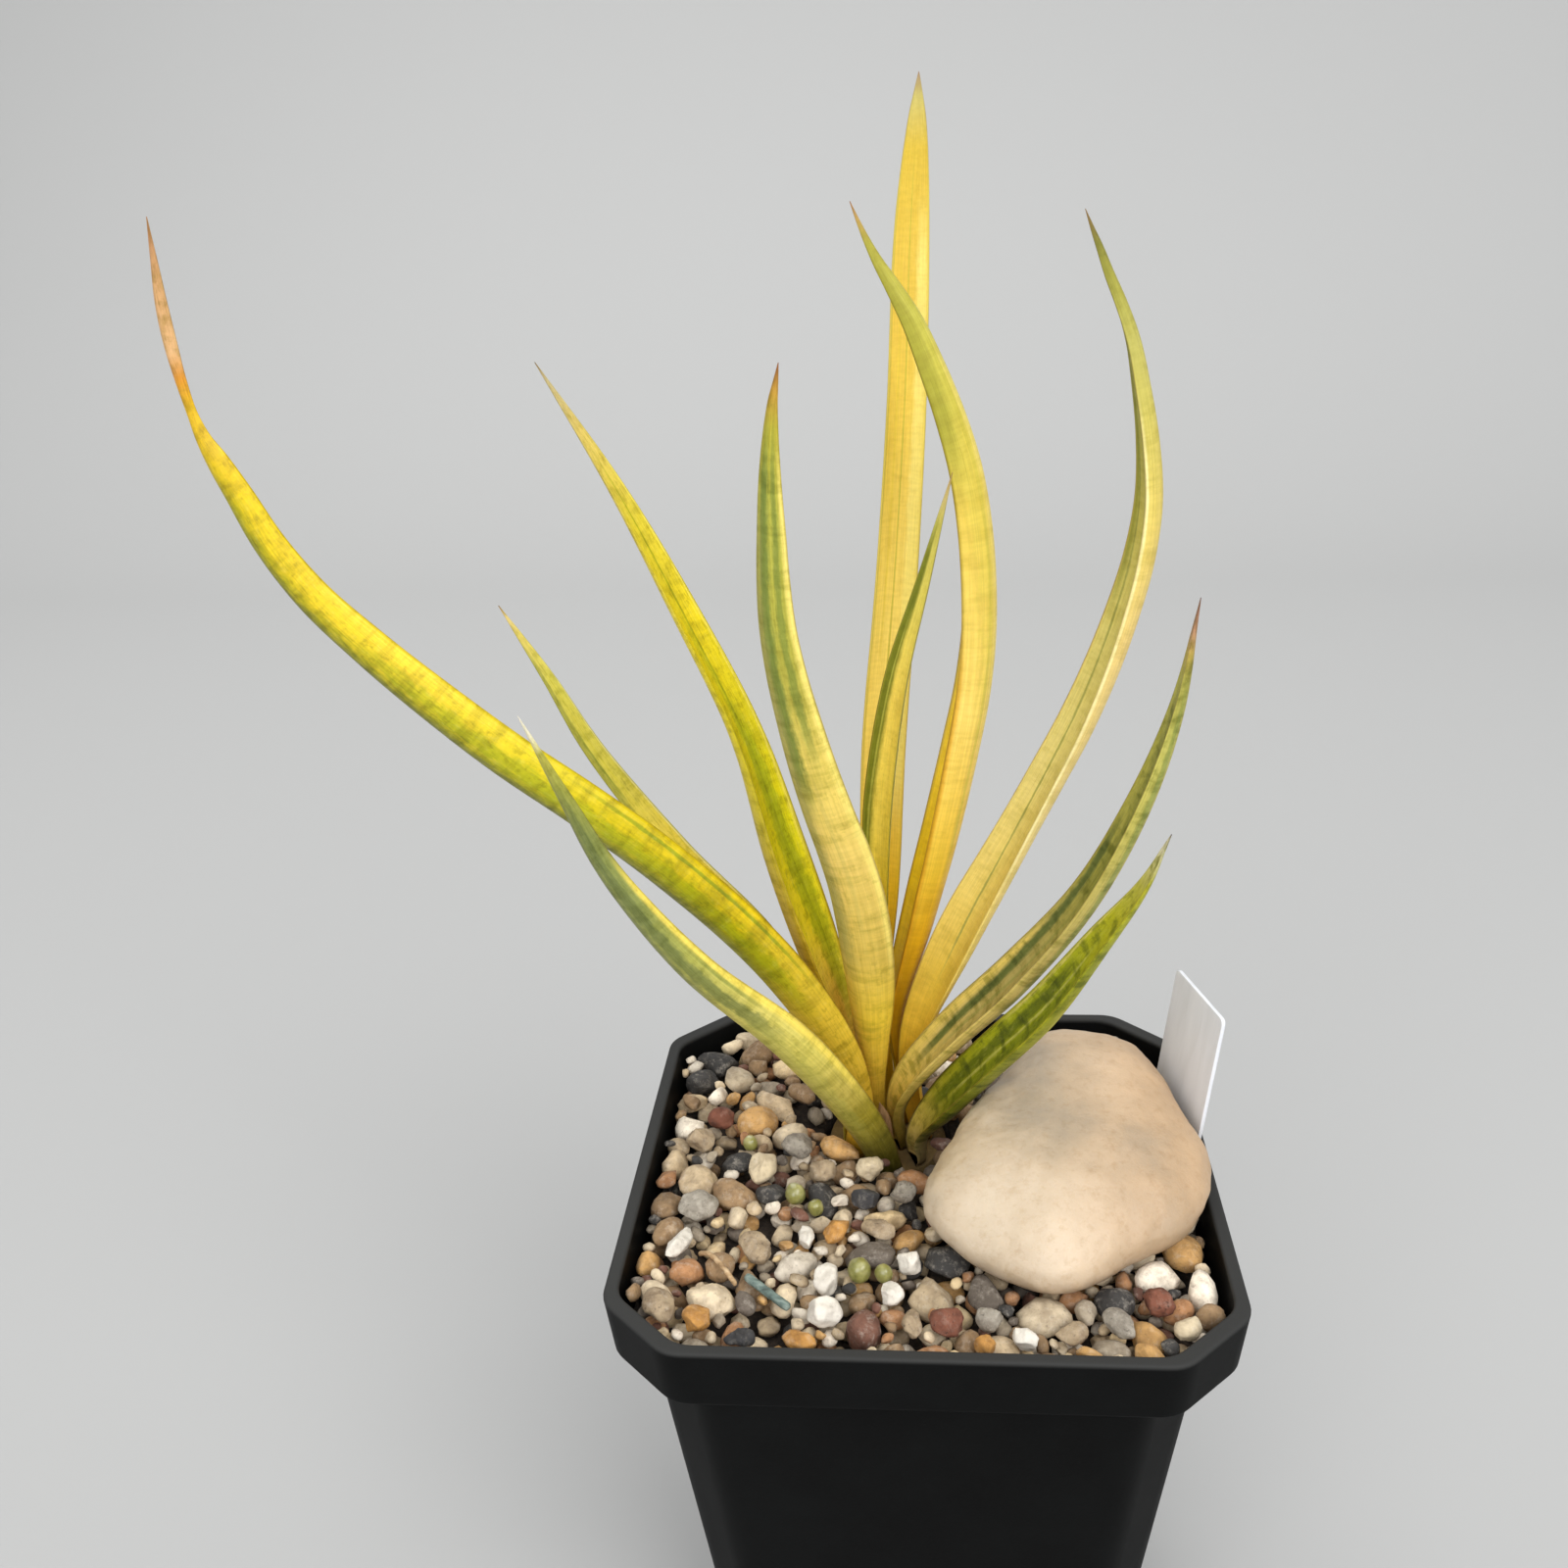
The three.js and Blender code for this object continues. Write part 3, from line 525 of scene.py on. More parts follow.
def order_rings(rings):
    """Starts every ring at the same margin and runs it the same way round."""
    middle = len(rings) // 3
    ring = rings[middle]
    widths = [
        np.linalg.norm(ring[(i + RIGHT_MARGIN) % RING_POINTS] - ring[i]) for i in range(RING_POINTS)
    ]
    ring = np.roll(ring, -int(np.argmax(widths)), axis=0)
    ahead = rings[middle + 1].mean(0) - rings[middle - 1].mean(0)
    side = np.cross(ahead, ring[FACE_MIDDLE] - ring[BACK_MIDDLE])
    if np.dot(side, ring[RIGHT_MARGIN] - ring[0]) < 0:
        ring = np.roll(ring[::-1], RIGHT_MARGIN + 1, axis=0)
    ordered = {middle: ring}
    for step, stop in ((1, len(rings)), (-1, -1)):
        last = ring
        for k in range(middle + step, stop, step):
            options = []
            for way in (rings[k], rings[k][::-1]):
                options += [np.roll(way, -shift, axis=0) for shift in range(RING_POINTS)]
            shape = last - last.mean(0)
            scale = np.abs(shape).sum() / max(np.abs(rings[k] - rings[k].mean(0)).sum(), 1e-6)
            last = min(options, key=lambda o: np.abs((o - o.mean(0)) * scale - shape).sum())
            ordered[k] = last
    return [ordered[k] for k in range(len(rings))]


def smooth_rows(stations, rows, spots):
    """Cubic curve through rows at given stations, read off at spots."""
    slopes = np.gradient(rows, stations, axis=0)
    cell = np.clip(np.searchsorted(stations, spots) - 1, 0, len(stations) - 2)
    gap = (stations[cell + 1] - stations[cell])[:, None]
    t = ((spots - stations[cell])[:, None]) / gap
    return (
        rows[cell] * (2 * t ** 3 - 3 * t ** 2 + 1) + slopes[cell] * gap * (t ** 3 - 2 * t ** 2 + t)
        + rows[cell + 1] * (3 * t ** 2 - 2 * t ** 3) + slopes[cell + 1] * gap * (t ** 3 - t ** 2)
    )


def store(piece, title, values, kind="FLOAT"):
    """Point attribute of a piece, one value or vector for each point."""
    attribute = piece.data.attributes.new(title, kind, "POINT")
    field = "vector" if kind == "FLOAT_VECTOR" else "value"
    attribute.data.foreach_set(field, np.ascontiguousarray(values).ravel())


def grow_leaf(node_name, ring_step=RING_STEP):
    """Fine leaf skin over a lofted solid; the surface carries along, across and inner."""
    rings, tip = read_rings(node_name)
    rings = order_rings(rings)
    rows = []
    for ring in rings:
        margin = (ring[0] + ring[RIGHT_MARGIN]) / 2
        side = ring[RIGHT_MARGIN] - ring[0]
        width = np.linalg.norm(side)
        side = side / width
        back = margin - ring[BACK_MIDDLE]
        back = back - side * np.dot(back, side)
        depth = np.linalg.norm(back)
        face = back / depth
        channel = max(np.dot(margin - ring[FACE_MIDDLE], face), 0)
        rows.append(np.concatenate([margin, side, face, [width, depth, channel]]))
    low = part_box(node_name)[0].z / MM
    if rows[0][2] > low + 2:
        share = (rows[0][2] - low) / (rows[1][2] - rows[0][2])
        rows.insert(0, rows[0] + (rows[0] - rows[1]) * share)
    last = rows[-1].copy()
    last[:3] = tip
    last[9:] = (0.12, 0.1, 0.0)
    rows = np.array(rows + [last])
    stations = np.concatenate([[0], np.cumsum(np.linalg.norm(np.diff(rows[:, :3], axis=0), axis=1))])
    length = stations[-1]
    count = max(int(length / ring_step), 24)
    spots = np.linspace(0, length, count)
    fine = smooth_rows(stations, rows, spots)
    skin_rings, along, across, inner = [], [], [], []
    for spot, row in zip(spots, fine):
        margin, side, face = row[:3], row[3:6], row[6:9]
        width, depth, channel = np.maximum(row[9:], (0.1, 0.08, 0.0))
        side = side / np.linalg.norm(side)
        face = face - side * np.dot(face, side)
        face = face / np.linalg.norm(face)
        ring = []
        for k in range(BACK_STEPS + 1):
            turn = k / BACK_STEPS * math.pi
            ring.append(margin - side * math.cos(turn) * width / 2 - face * math.sin(turn) * depth)
            across.append(2 * k / BACK_STEPS - 1)
            inner.append(0.0)
        for k in range(1, FACE_STEPS):
            share = 1 - 2 * k / FACE_STEPS
            dip = (1 - share * share) * channel
            ring.append(margin + side * share * width / 2 - face * dip)
            across.append(share)
            inner.append(1.0)
        skin_rings.append([tuple(p * MM) for p in ring])
        along += [spot / length] * len(ring)
    points, faces = skin(skin_rings, fine[0][:3] * MM, tip * MM)
    along += [0.0, 1.0]
    across += [0.0, 0.0]
    inner += [0.0, 0.0]
    leaf = new_piece(node_name + "_skin", points, faces)
    for title, values in (("along", along), ("across", across), ("inner", inner)):
        store(leaf, title, values)
    face_out(leaf)
    return leaf, length


def face_out(piece):
    """Turns a closed mesh the right way round if its volume comes out negative."""
    work = bmesh.new()
    work.from_mesh(piece.data)
    if work.calc_volume(signed=True) < 0:
        bmesh.ops.reverse_faces(work, faces=work.faces)
    work.to_mesh(piece.data)
    work.free()
    piece.data.update()


def new_group(name, inputs, outputs):
    """Shader node group with the given sockets; returns it, what it is given and its result."""
    group = bpy.data.node_groups.new(name, "ShaderNodeTree")
    for title, default in inputs:
        kind = "NodeSocketColor" if isinstance(default, str) else "NodeSocketFloat"
        socket = group.interface.new_socket(name=title, in_out="INPUT", socket_type=kind)
        socket.default_value = paint(default) if isinstance(default, str) else default
    for title in outputs:
        kind = "NodeSocketColor" if title == "Colour" else "NodeSocketFloat"
        group.interface.new_socket(name=title, in_out="OUTPUT", socket_type=kind)
    return group, group.nodes.new("NodeGroupInput").outputs, group.nodes.new("NodeGroupOutput")


def add_group(tree, group, **values):
    node = tree.nodes.new("ShaderNodeGroup")
    node.node_tree = group
    return wire(tree, node, **values)


def leaf_noise(tree, across, run, seed, across_scale, run_scale, detail=3, roughness=0.55):
    """Noise stretched on the leaf: scales are per half width and per millimetre along it."""
    place = add_node(
        tree, "ShaderNodeCombineXYZ", product(tree, across, across_scale),
        product(tree, run, run_scale), seed,
    ).outputs[0]
    return add_node(
        tree, "ShaderNodeTexNoise", Vector=place, Scale=1, Detail=detail, Roughness=roughness,
    ).outputs["Fac"]


def build_streak():
    """Mask of one lengthwise stripe, ragged at its sides and faded at its ends."""
    tree, plug, result = new_group(
        "leaf_streak",
        (("Along", 0.0), ("Across", 0.0), ("Run", 0.0), ("Seed", 0.0), ("Low", 0.0), ("High", 1.0),
         ("Centre Low", 0.0), ("Centre High", 0.0), ("Half Width", 0.1), ("Ragged", 0.3)),
        ("Mask",),
    )
    fade = 0.09
    share = span(tree, plug["Along"], plug["Low"], plug["High"], kind="LINEAR")
    centre = calculate(tree, "SUBTRACT", plug["Centre High"], plug["Centre Low"])
    centre = calculate(tree, "MULTIPLY_ADD", centre, share, plug["Centre Low"])
    away = calculate(tree, "SUBTRACT", plug["Across"], centre)
    away = calculate(tree, "ABSOLUTE", away)
    wander = leaf_noise(tree, plug["Across"], plug["Run"], plug["Seed"], 7, 0.35, 4, 0.7)
    wander = calculate(tree, "SUBTRACT", wander, 0.5)
    wander = product(tree, wander, plug["Ragged"], 1.6)
    away = calculate(tree, "DIVIDE", away, plug["Half Width"])
    away = calculate(tree, "MULTIPLY_ADD", wander, 2.0, away)
    body = span(tree, away, 1.35, 0.45)
    start = span(tree, plug["Along"], plug["Low"], calculate(tree, "ADD", plug["Low"], fade))
    stop = span(tree, plug["Along"], plug["High"], calculate(tree, "SUBTRACT", plug["High"], fade))
    wire(tree, result, Mask=product(tree, body, start, stop))
    return tree


def build_leaf_skin():
    """Waxy skin over the leaf's own colours: cross bands, dashes, fine lines and margin."""
    tree, plug, result = new_group(
        "leaf_skin",
        (("Ground", "#c0c040"), ("Across", 0.0), ("Run", 0.0), ("Seed", 0.0), ("Bands", 0.4),
         ("Dashes", 0.4), ("Band Colour", "#9aa040"), ("Margin Colour", "#8a5a30"), ("Margin", 0.6)),
        ("Colour", "Roughness", "Height"),
    )
    surface = (tree, plug["Across"], plug["Run"], plug["Seed"])
    bands = leaf_noise(*surface, 0.9, 0.42, 4, 0.6)
    fine_bands = leaf_noise(*surface, 1.6, 1.5, 2, 0.5)
    dashes = leaf_noise(*surface, 7, 0.5, 3, 0.65)
    lines = leaf_noise(*surface, 26, 0.06, 2, 0.5)
    edge = calculate(tree, "ABSOLUTE", plug["Across"])
    colour = plug["Ground"]
    for kind, mask, code in (
        ("MULTIPLY", product(tree, span(tree, bands, 0.45, 0.68), plug["Bands"]), plug["Band Colour"]),
        ("MULTIPLY", product(tree, span(tree, dashes, 0.52, 0.68), plug["Dashes"], 0.7),
         plug["Band Colour"]),
        ("SCREEN", product(tree, span(tree, dashes, 0.46, 0.3), 0.3, plug["Dashes"]), "#a89d5c"),
        ("MULTIPLY", span(tree, fine_bands, 0.3, 0.7, 0.0, 0.12), "#a8a86a"),
        ("MULTIPLY", span(tree, lines, 0.4, 0.62, 0.0, 0.16), "#9a9a58"),
        ("MIX", product(tree, span(tree, edge, 0.96, 0.995), plug["Margin"]), plug["Margin Colour"]),
    ):
        colour = mix_colours(tree, kind, mask, colour, code)
    wire(
        tree, result, Colour=colour, Roughness=span(tree, bands, 0.3, 0.7, 0.34, 0.5),
        Height=calculate(tree, "MULTIPLY_ADD", fine_bands, 0.35, lines),
    )
    return tree


LEAF_STREAK = build_streak()
LEAF_SKIN = build_leaf_skin()

# Of each leaf, back and face give the colours from foot to tip. A streak gives its side, where it
# begins and ends along the leaf, its centre at either end, from -1 to 1 across the leaf, its half
# width, its colour, its strength and how ragged it is.
# The back and face stops also hold painted light: they are lightened where the leaves stand in shade,
# towards the foot and on the arched leaf's face, and darkened towards the tips that catch more light.
LEAVES = {
    "leaf_arched": dict(
        bands=0.25, dashes=0.2, band_colour="#c8c070",
        back=((0.0, "#9a6e08"), (0.16, "#ab7d06"), (0.25, "#dca91c"), (0.33, "#e6bf3a"),
              (0.5, "#f0d06a"), (0.7, "#dcc04f"), (0.8, "#c8bb4a"), (0.88, "#bbb448"),
              (0.96, "#ada540"), (0.985, "#c09a58"), (1.0, "#9a6a48")),
        face=((0.0, "#c8990c"), (0.3, "#ffd816"), (0.5, "#fcd640"), (0.75, "#a8a83a"), (1.0, "#8f9430")),
        streaks=(
            ("back", 0.7, 1.0, 0.95, 0.8, 0.35, "#a09a30", 0.9, 0.2),
            ("back", 0.3, 0.85, 0.45, 0.35, 0.05, "#bdb040", 0.6, 0.5),
            ("back", 0.45, 0.8, 0.2, 0.55, 0.3, "#d8c552", 0.5, 0.9),
            ("back", 0.35, 0.9, 0.1, 0.1, 0.18, "#f6e07c", 0.5, 0.4),
            ("back", 0.1, 0.6, 0.97, 0.97, 0.06, "#d59a12", 0.7, 0.2),
        ),
    ),
    "leaf_centre": dict(
        bands=0.45, dashes=0.4, band_colour="#b4ba6c",
        back=((0.0, "#9a7218"), (0.1, "#e6bc3c"), (0.2, "#f4d244"), (0.3, "#dcbe58"), (0.45, "#e6c86a"),
              (0.58, "#e3ca62"), (0.7, "#b3ab42"), (0.85, "#b4b046"), (0.94, "#b0a632"),
              (0.975, "#bd9030"), (1.0, "#84452a")),
        face=((0.0, "#b08a20"), (0.5, "#d8c65c"), (1.0, "#9aa040")),
        streaks=(
            ("back", 0.25, 0.95, -0.98, -0.98, 0.14, "#fbe47c", 0.85, 0.2),
            ("back", 0.56, 0.97, -0.64, -0.7, 0.09, "#7c8834", 0.8, 0.6),
            ("back", 0.5, 0.97, -0.22, -0.34, 0.17, "#748438", 0.9, 0.5),
            ("back", 0.25, 0.9, 0.1, 0.1, 0.3, "#a09a52", 0.75, 0.4),
            ("back", 0.3, 0.62, -0.45, -0.5, 0.04, "#c9b45c", 0.5, 0.4),
        ),
    ),
    "leaf_far_left": dict(
        bands=0.5, dashes=0.65, band_colour="#b2b44c",
        back=((0.0, "#b88a20"), (0.1, "#e2bc3c"), (0.2, "#dfbf34"), (0.3, "#e2c40a"), (0.5, "#d9c41a"),
              (0.62, "#f0d02e"), (0.8, "#e4c40e"), (0.872, "#e0b41a"), (0.893, "#d8902c"),
              (0.91, "#dcae7a"), (0.96, "#ce9e6c"), (1.0, "#b07c58")),
        face=((0.0, "#c08c1c"), (0.2, "#e0c020"), (0.8, "#d8c020"), (0.893, "#d8902c"), (1.0, "#c08a60")),
        streaks=(
            ("back", 0.17, 0.87, 0.2, 0.4, 0.85, "#93960c", 0.85, 0.35),
            ("back", 0.25, 0.82, 0.3, 0.35, 0.5, "#6c6e08", 0.85, 0.5),
            ("back", 0.18, 0.5, -0.84, -0.84, 0.035, "#8c9a10", 0.8, 0.4),
            ("back", 0.15, 0.7, -0.4, -0.5, 0.16, "#a6ac10", 0.5, 0.8),
        ),
    ),
    "leaf_front_left": dict(
        bands=0.45, dashes=0.5, band_colour="#b6ba80",
        back=((0.0, "#4a4410"), (0.09, "#6c6220"), (0.15, "#a0902e"), (0.22, "#c6b256"), (0.32, "#d6c862"),
              (0.45, "#d8ca6a"), (0.58, "#adab52"), (0.7, "#8f9650"), (0.82, "#818844"), (0.9, "#9c9c42"),
              (0.945, "#b8b04c"), (0.965, "#ece2bc"), (1.0, "#f1e8d6")),
        face=((0.0, "#645c1a"), (0.3, "#c4b858"), (0.7, "#9a9c50"), (0.95, "#c2bb50"), (1.0, "#f1e8d6")),
        streaks=(
            ("back", 0.17, 0.8, -0.97, -0.97, 0.17, "#f6dc62", 0.95, 0.15),
            ("back", 0.36, 0.92, -0.42, -0.38, 0.2, "#6a7440", 0.8, 0.7),
            ("back", 0.42, 0.64, -0.76, -0.8, 0.05, "#808a3c", 0.7, 0.5),
            ("back", 0.45, 0.92, 0.0, 0.1, 0.22, "#747a42", 0.7, 0.5),
            ("back", 0.08, 0.5, -0.2, -0.15, 0.3, "#a3a24e", 0.45, 0.8),
        ),
    ),
    "leaf_front_right": dict(
        bands=0.8, dashes=0.6, band_colour="#8f9c3c",
        back=((0.0, "#9a8660"), (0.15, "#6a6014"), (0.3, "#5c5c10"), (0.5, "#aaaa1c"), (0.7, "#a6aa20"),
              (0.9, "#b0ac18"), (0.965, "#ded6a8"), (1.0, "#2c2018")),
        face=((0.0, "#b4965a"), (0.1, "#c0a648"), (0.18, "#948c24"), (0.3, "#8f9012"), (0.5, "#94980c"),
              (0.65, "#9ca00e"), (0.8, "#aeaa1a"), (0.88, "#b6b040"), (0.94, "#d0c884"),
              (0.97, "#e4dcb8"), (0.99, "#d8cca8"), (1.0, "#2c2018")),
        streaks=(
            ("face", 0.12, 0.7, -0.42, -0.45, 0.24, "#545e06", 0.9, 0.5),
            ("face", 0.2, 0.75, -0.12, -0.1, 0.07, "#b4b058", 0.75, 0.5),
            ("face", 0.15, 0.7, 0.3, 0.3, 0.35, "#68740c", 0.7, 0.5),
            ("face", 0.42, 0.95, -0.99, -0.96, 0.14, "#d2c468", 0.85, 0.3),
            ("back", 0.15, 0.8, 0.8, 0.8, 0.2, "#7a8018", 0.6, 0.5),
        ),
    ),
    "leaf_left_long": dict(
        bands=0.45, dashes=0.75, band_colour="#b8b838",
        back=((0.0, "#b8922c"), (0.3, "#c4a828"), (0.45, "#c8b834"), (0.6, "#e6d420"), (0.8, "#e4cf40"),
              (1.0, "#c2b082")),
        face=((0.0, "#d8ac3c"), (0.2, "#ffe060"), (0.3, "#fae82c"), (0.42, "#e6dc12"), (0.58, "#dccc14"),
              (0.7, "#eed61c"), (0.82, "#d8c432"), (0.92, "#d8be60"), (0.98, "#c2b082"), (1.0, "#8a6444")),
        streaks=(
            ("face", 0.12, 0.62, 0.8, 0.05, 0.34, "#a8b414", 0.75, 0.6),
            ("face", 0.5, 0.93, 0.02, -0.12, 0.08, "#a6a40c", 0.85, 0.5),
            ("face", 0.2, 0.6, 0.7, 0.02, 0.06, "#8a960a", 0.6, 0.6),
            ("face", 0.25, 0.75, 0.5, -0.35, 0.22, "#b4b818", 0.5, 0.8),
            ("face", 0.35, 0.95, 0.97, 0.97, 0.12, "#f6e26c", 0.7, 0.3),
            ("face", 0.15, 0.42, -0.85, -0.95, 0.12, "#d0b440", 0.5, 0.3),
        ),
    ),
    "leaf_left_short": dict(
        bands=0.5, dashes=0.6, band_colour="#b4b868",
        back=((0.0, "#b09a30"), (0.5, "#a8a850"), (0.9, "#a8a850"), (1.0, "#a8763c")),
        face=((0.0, "#c9a82c"), (0.45, "#e4c83a"), (0.6, "#e0ca48"), (0.7, "#d2c54a"), (0.87, "#d4ca54"),
              (0.95, "#e2ce6a"), (0.98, "#ecd28a"), (1.0, "#a8763c")),
        streaks=(
            ("face", 0.55, 0.97, -0.72, -0.7, 0.26, "#9a9a44", 0.8, 0.5),
            ("face", 0.62, 0.84, -0.4, -0.4, 0.12, "#7f8c34", 0.75, 0.6),
            ("face", 0.6, 0.95, 0.1, 0.1, 0.07, "#c8bc30", 0.6, 0.5),
            ("face", 0.4, 0.95, 0.95, 0.95, 0.1, "#f0e4a8", 0.7, 0.3),
        ),
    ),
    "leaf_right_long": dict(
        bands=0.3, dashes=0.25, band_colour="#c6c27c",
        back=((0.0, "#cc962e"), (0.15, "#f2c642"), (0.25, "#fce07a"), (0.4, "#f0d888"), (0.6, "#eacc7d"),
              (0.72, "#dfc766"), (0.82, "#cabd5f"), (0.88, "#bdb55f"), (0.93, "#aca64a"),
              (0.97, "#807c2e"), (1.0, "#8a6a44")),
        face=((0.0, "#c08820"), (0.1, "#f2c032"), (0.2, "#dcba44"), (0.3, "#dec464"), (0.45, "#d8c676"),
              (0.6, "#d2c470"), (0.72, "#c6ba5e"), (0.82, "#a5a048"), (0.9, "#8f9040"), (1.0, "#86702e")),
        streaks=(
            ("face", 0.18, 0.9, 0.02, -0.92, 0.05, "#98984c", 0.85, 0.6),
            ("face", 0.6, 0.95, -0.95, -0.95, 0.25, "#82842f", 0.8, 0.3),
            ("back", 0.88, 1.0, 0.9, 0.9, 0.4, "#84822c", 0.8, 0.3),
            ("back", 0.3, 0.85, 0.97, 0.97, 0.08, "#fdf0b0", 0.7, 0.2),
        ),
    ),
    "leaf_right": dict(
        bands=0.75, dashes=0.35, band_colour="#a3ac62",
        back=((0.0, "#5a4414"), (0.12, "#a88e3c"), (0.22, "#e0c46c"), (0.35, "#d6be6c"), (0.5, "#c2b064"),
              (0.7, "#bcb258"), (0.82, "#bab45a"), (0.9, "#a09a44"), (0.93, "#b09a48"), (0.96, "#c09070"),
              (1.0, "#5e342c")),
        face=((0.0, "#c8a048"), (0.1, "#f0ca58"), (0.2, "#ccb25e"), (0.3, "#b8a25c"), (0.42, "#a69656"),
              (0.6, "#a49a44"), (0.8, "#a8a24a"), (0.9, "#aba750"), (0.93, "#b4a04c"), (0.96, "#c09070"),
              (1.0, "#5e342c")),
        streaks=(
            ("face", 0.08, 0.52, -0.95, -0.98, 0.3, "#d9bd5c", 0.9, 0.2),
            ("face", 0.15, 0.72, -0.3, -0.85, 0.17, "#56602a", 0.95, 0.4),
            ("face", 0.2, 0.6, 0.05, -0.1, 0.1, "#8c8c46", 0.6, 0.5),
            ("face", 0.5, 0.93, 0.1, 0.0, 0.6, "#6e7430", 0.6, 0.8),
            ("back", 0.3, 0.92, 0.55, 0.6, 0.14, "#8c9644", 0.75, 0.6),
            ("back", 0.0, 0.32, 0.4, 0.45, 0.2, "#6a5c1c", 0.7, 0.4),
        ),
    ),
    "leaf_slim": dict(
        bands=0.25, dashes=0.35, band_colour="#c0bc68",
        back=((0.0, "#b08c20"), (0.4, "#8c8c20"), (1.0, "#9a9450")),
        face=((0.0, "#f0b820"), (0.35, "#ffe84c"), (0.5, "#ffe45e"), (0.7, "#f2d45c"), (0.82, "#dac858"),
              (0.93, "#c8be58"), (0.97, "#c8b274"), (1.0, "#a8804c")),
        streaks=(
            ("face", 0.4, 0.97, -0.98, -0.5, 0.5, "#6a7008", 0.97, 0.2),
            ("face", 0.42, 0.85, -0.75, -0.4, 0.06, "#b4b048", 0.7, 0.5),
            ("back", 0.3, 1.0, -1.0, -0.9, 0.6, "#5c6408", 0.9, 0.3),
        ),
    ),
    "leaf_tall": dict(
        bands=0.15, dashes=0.25, band_colour="#d8cc70", margin_colour="#7c5a52",
        back=((0.0, "#b88c18"), (0.2, "#e2b83c"), (0.6, "#ecd468"), (0.9, "#e0cc58"), (1.0, "#b09a80")),
        face=((0.0, "#a8800c"), (0.15, "#d8a806"), (0.25, "#f8ca24"), (0.38, "#f4d66a"), (0.5, "#f4d86c"),
              (0.7, "#edcb52"), (0.85, "#e2be49"), (0.94, "#d6b638"), (0.98, "#c8ba68"), (1.0, "#9c7c68")),
        streaks=(
            ("face", 0.25, 0.96, -0.06, -0.06, 0.035, "#bfb23a", 0.85, 0.4),
            ("face", 0.3, 0.92, 0.65, 0.65, 0.3, "#fdea84", 0.7, 0.4),
            ("face", 0.3, 0.97, -0.92, -0.92, 0.07, "#b4a84c", 0.6, 0.3),
            ("face", 0.45, 0.9, -0.45, -0.45, 0.05, "#e2c640", 0.5, 0.5),
        ),
    ),
}


def stored(tree, title):
    """Socket that gives a point attribute of the piece."""
    node = tree.nodes.new("ShaderNodeAttribute")
    node.attribute_name = title
    return node.outputs["Fac"]


def leaf_material(name, length, recipe, seed_value):
    material, tree, shader = new_material(
        name, roughness=0.42, Specular_IOR_Level=0.3, Subsurface_Weight=0.12,
        Subsurface_Radius=(0.0022, 0.0018, 0.0005), Subsurface_Scale=1.0,
    )
    along, across, inner = [stored(tree, title) for title in ("along", "across", "inner")]
    place = dict(
        Across=across, Run=product(tree, along, length),
        Seed=calculate(tree, "MULTIPLY_ADD", inner, 5.3, seed_value * 9.7),
    )
    sides = [add_ramp(tree, along, recipe[side]) for side in ("back", "face")]
    colour = mix_colours(tree, "MIX", inner, *sides)
    where = {"face": inner, "back": calculate(tree, "SUBTRACT", 1.0, inner)}
    for side, low, high, centre_low, centre_high, half, code, strength, ragged in recipe["streaks"]:
        streak = add_group(
            tree, LEAF_STREAK, **place, Along=along, Low=low, High=high, Centre_Low=centre_low,
            Centre_High=centre_high, Half_Width=half, Ragged=ragged,
        )
        mask = product(tree, streak.outputs["Mask"], where[side], strength)
        colour = mix_colours(tree, "MIX", mask, colour, code)
    surface = add_group(
        tree, LEAF_SKIN, **place, Ground=colour, Bands=recipe["bands"], Dashes=recipe["dashes"],
        Band_Colour=recipe["band_colour"], Margin=0.3,
        Margin_Colour=recipe.get("margin_colour", "#8c5c34"),
    ).outputs
    wire(tree, shader, Base_Color=surface["Colour"], Roughness=surface["Roughness"])
    add_bump(tree, shader, surface["Height"], 0.00009)
    return material


for order, (leaf_name, recipe) in enumerate(LEAVES.items()):
    leaf, length = grow_leaf(leaf_name)
    leaf.data.materials.append(leaf_material(leaf_name + "_colours", length, recipe, order + 1))
    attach(leaf, "root")
    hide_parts(leaf_name)


# ---------------------------------------------------------------- Dry scale
# A brown, papery sheath left between the front leaves, where an old leaf has died back.
scale, _ = grow_leaf("dry_scale", 0.35)
scale.data.materials.append(grainy_material(
    "dry_sheath", 900, [(0.3, "#4e3620"), (0.55, "#8a6740"), (0.8, "#b8946a")], 0.0002,
    stretch=(1, 1, 0.2), colour="#8a6a43", roughness=0.8,
))
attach(scale, "root")
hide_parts("dry_scale")
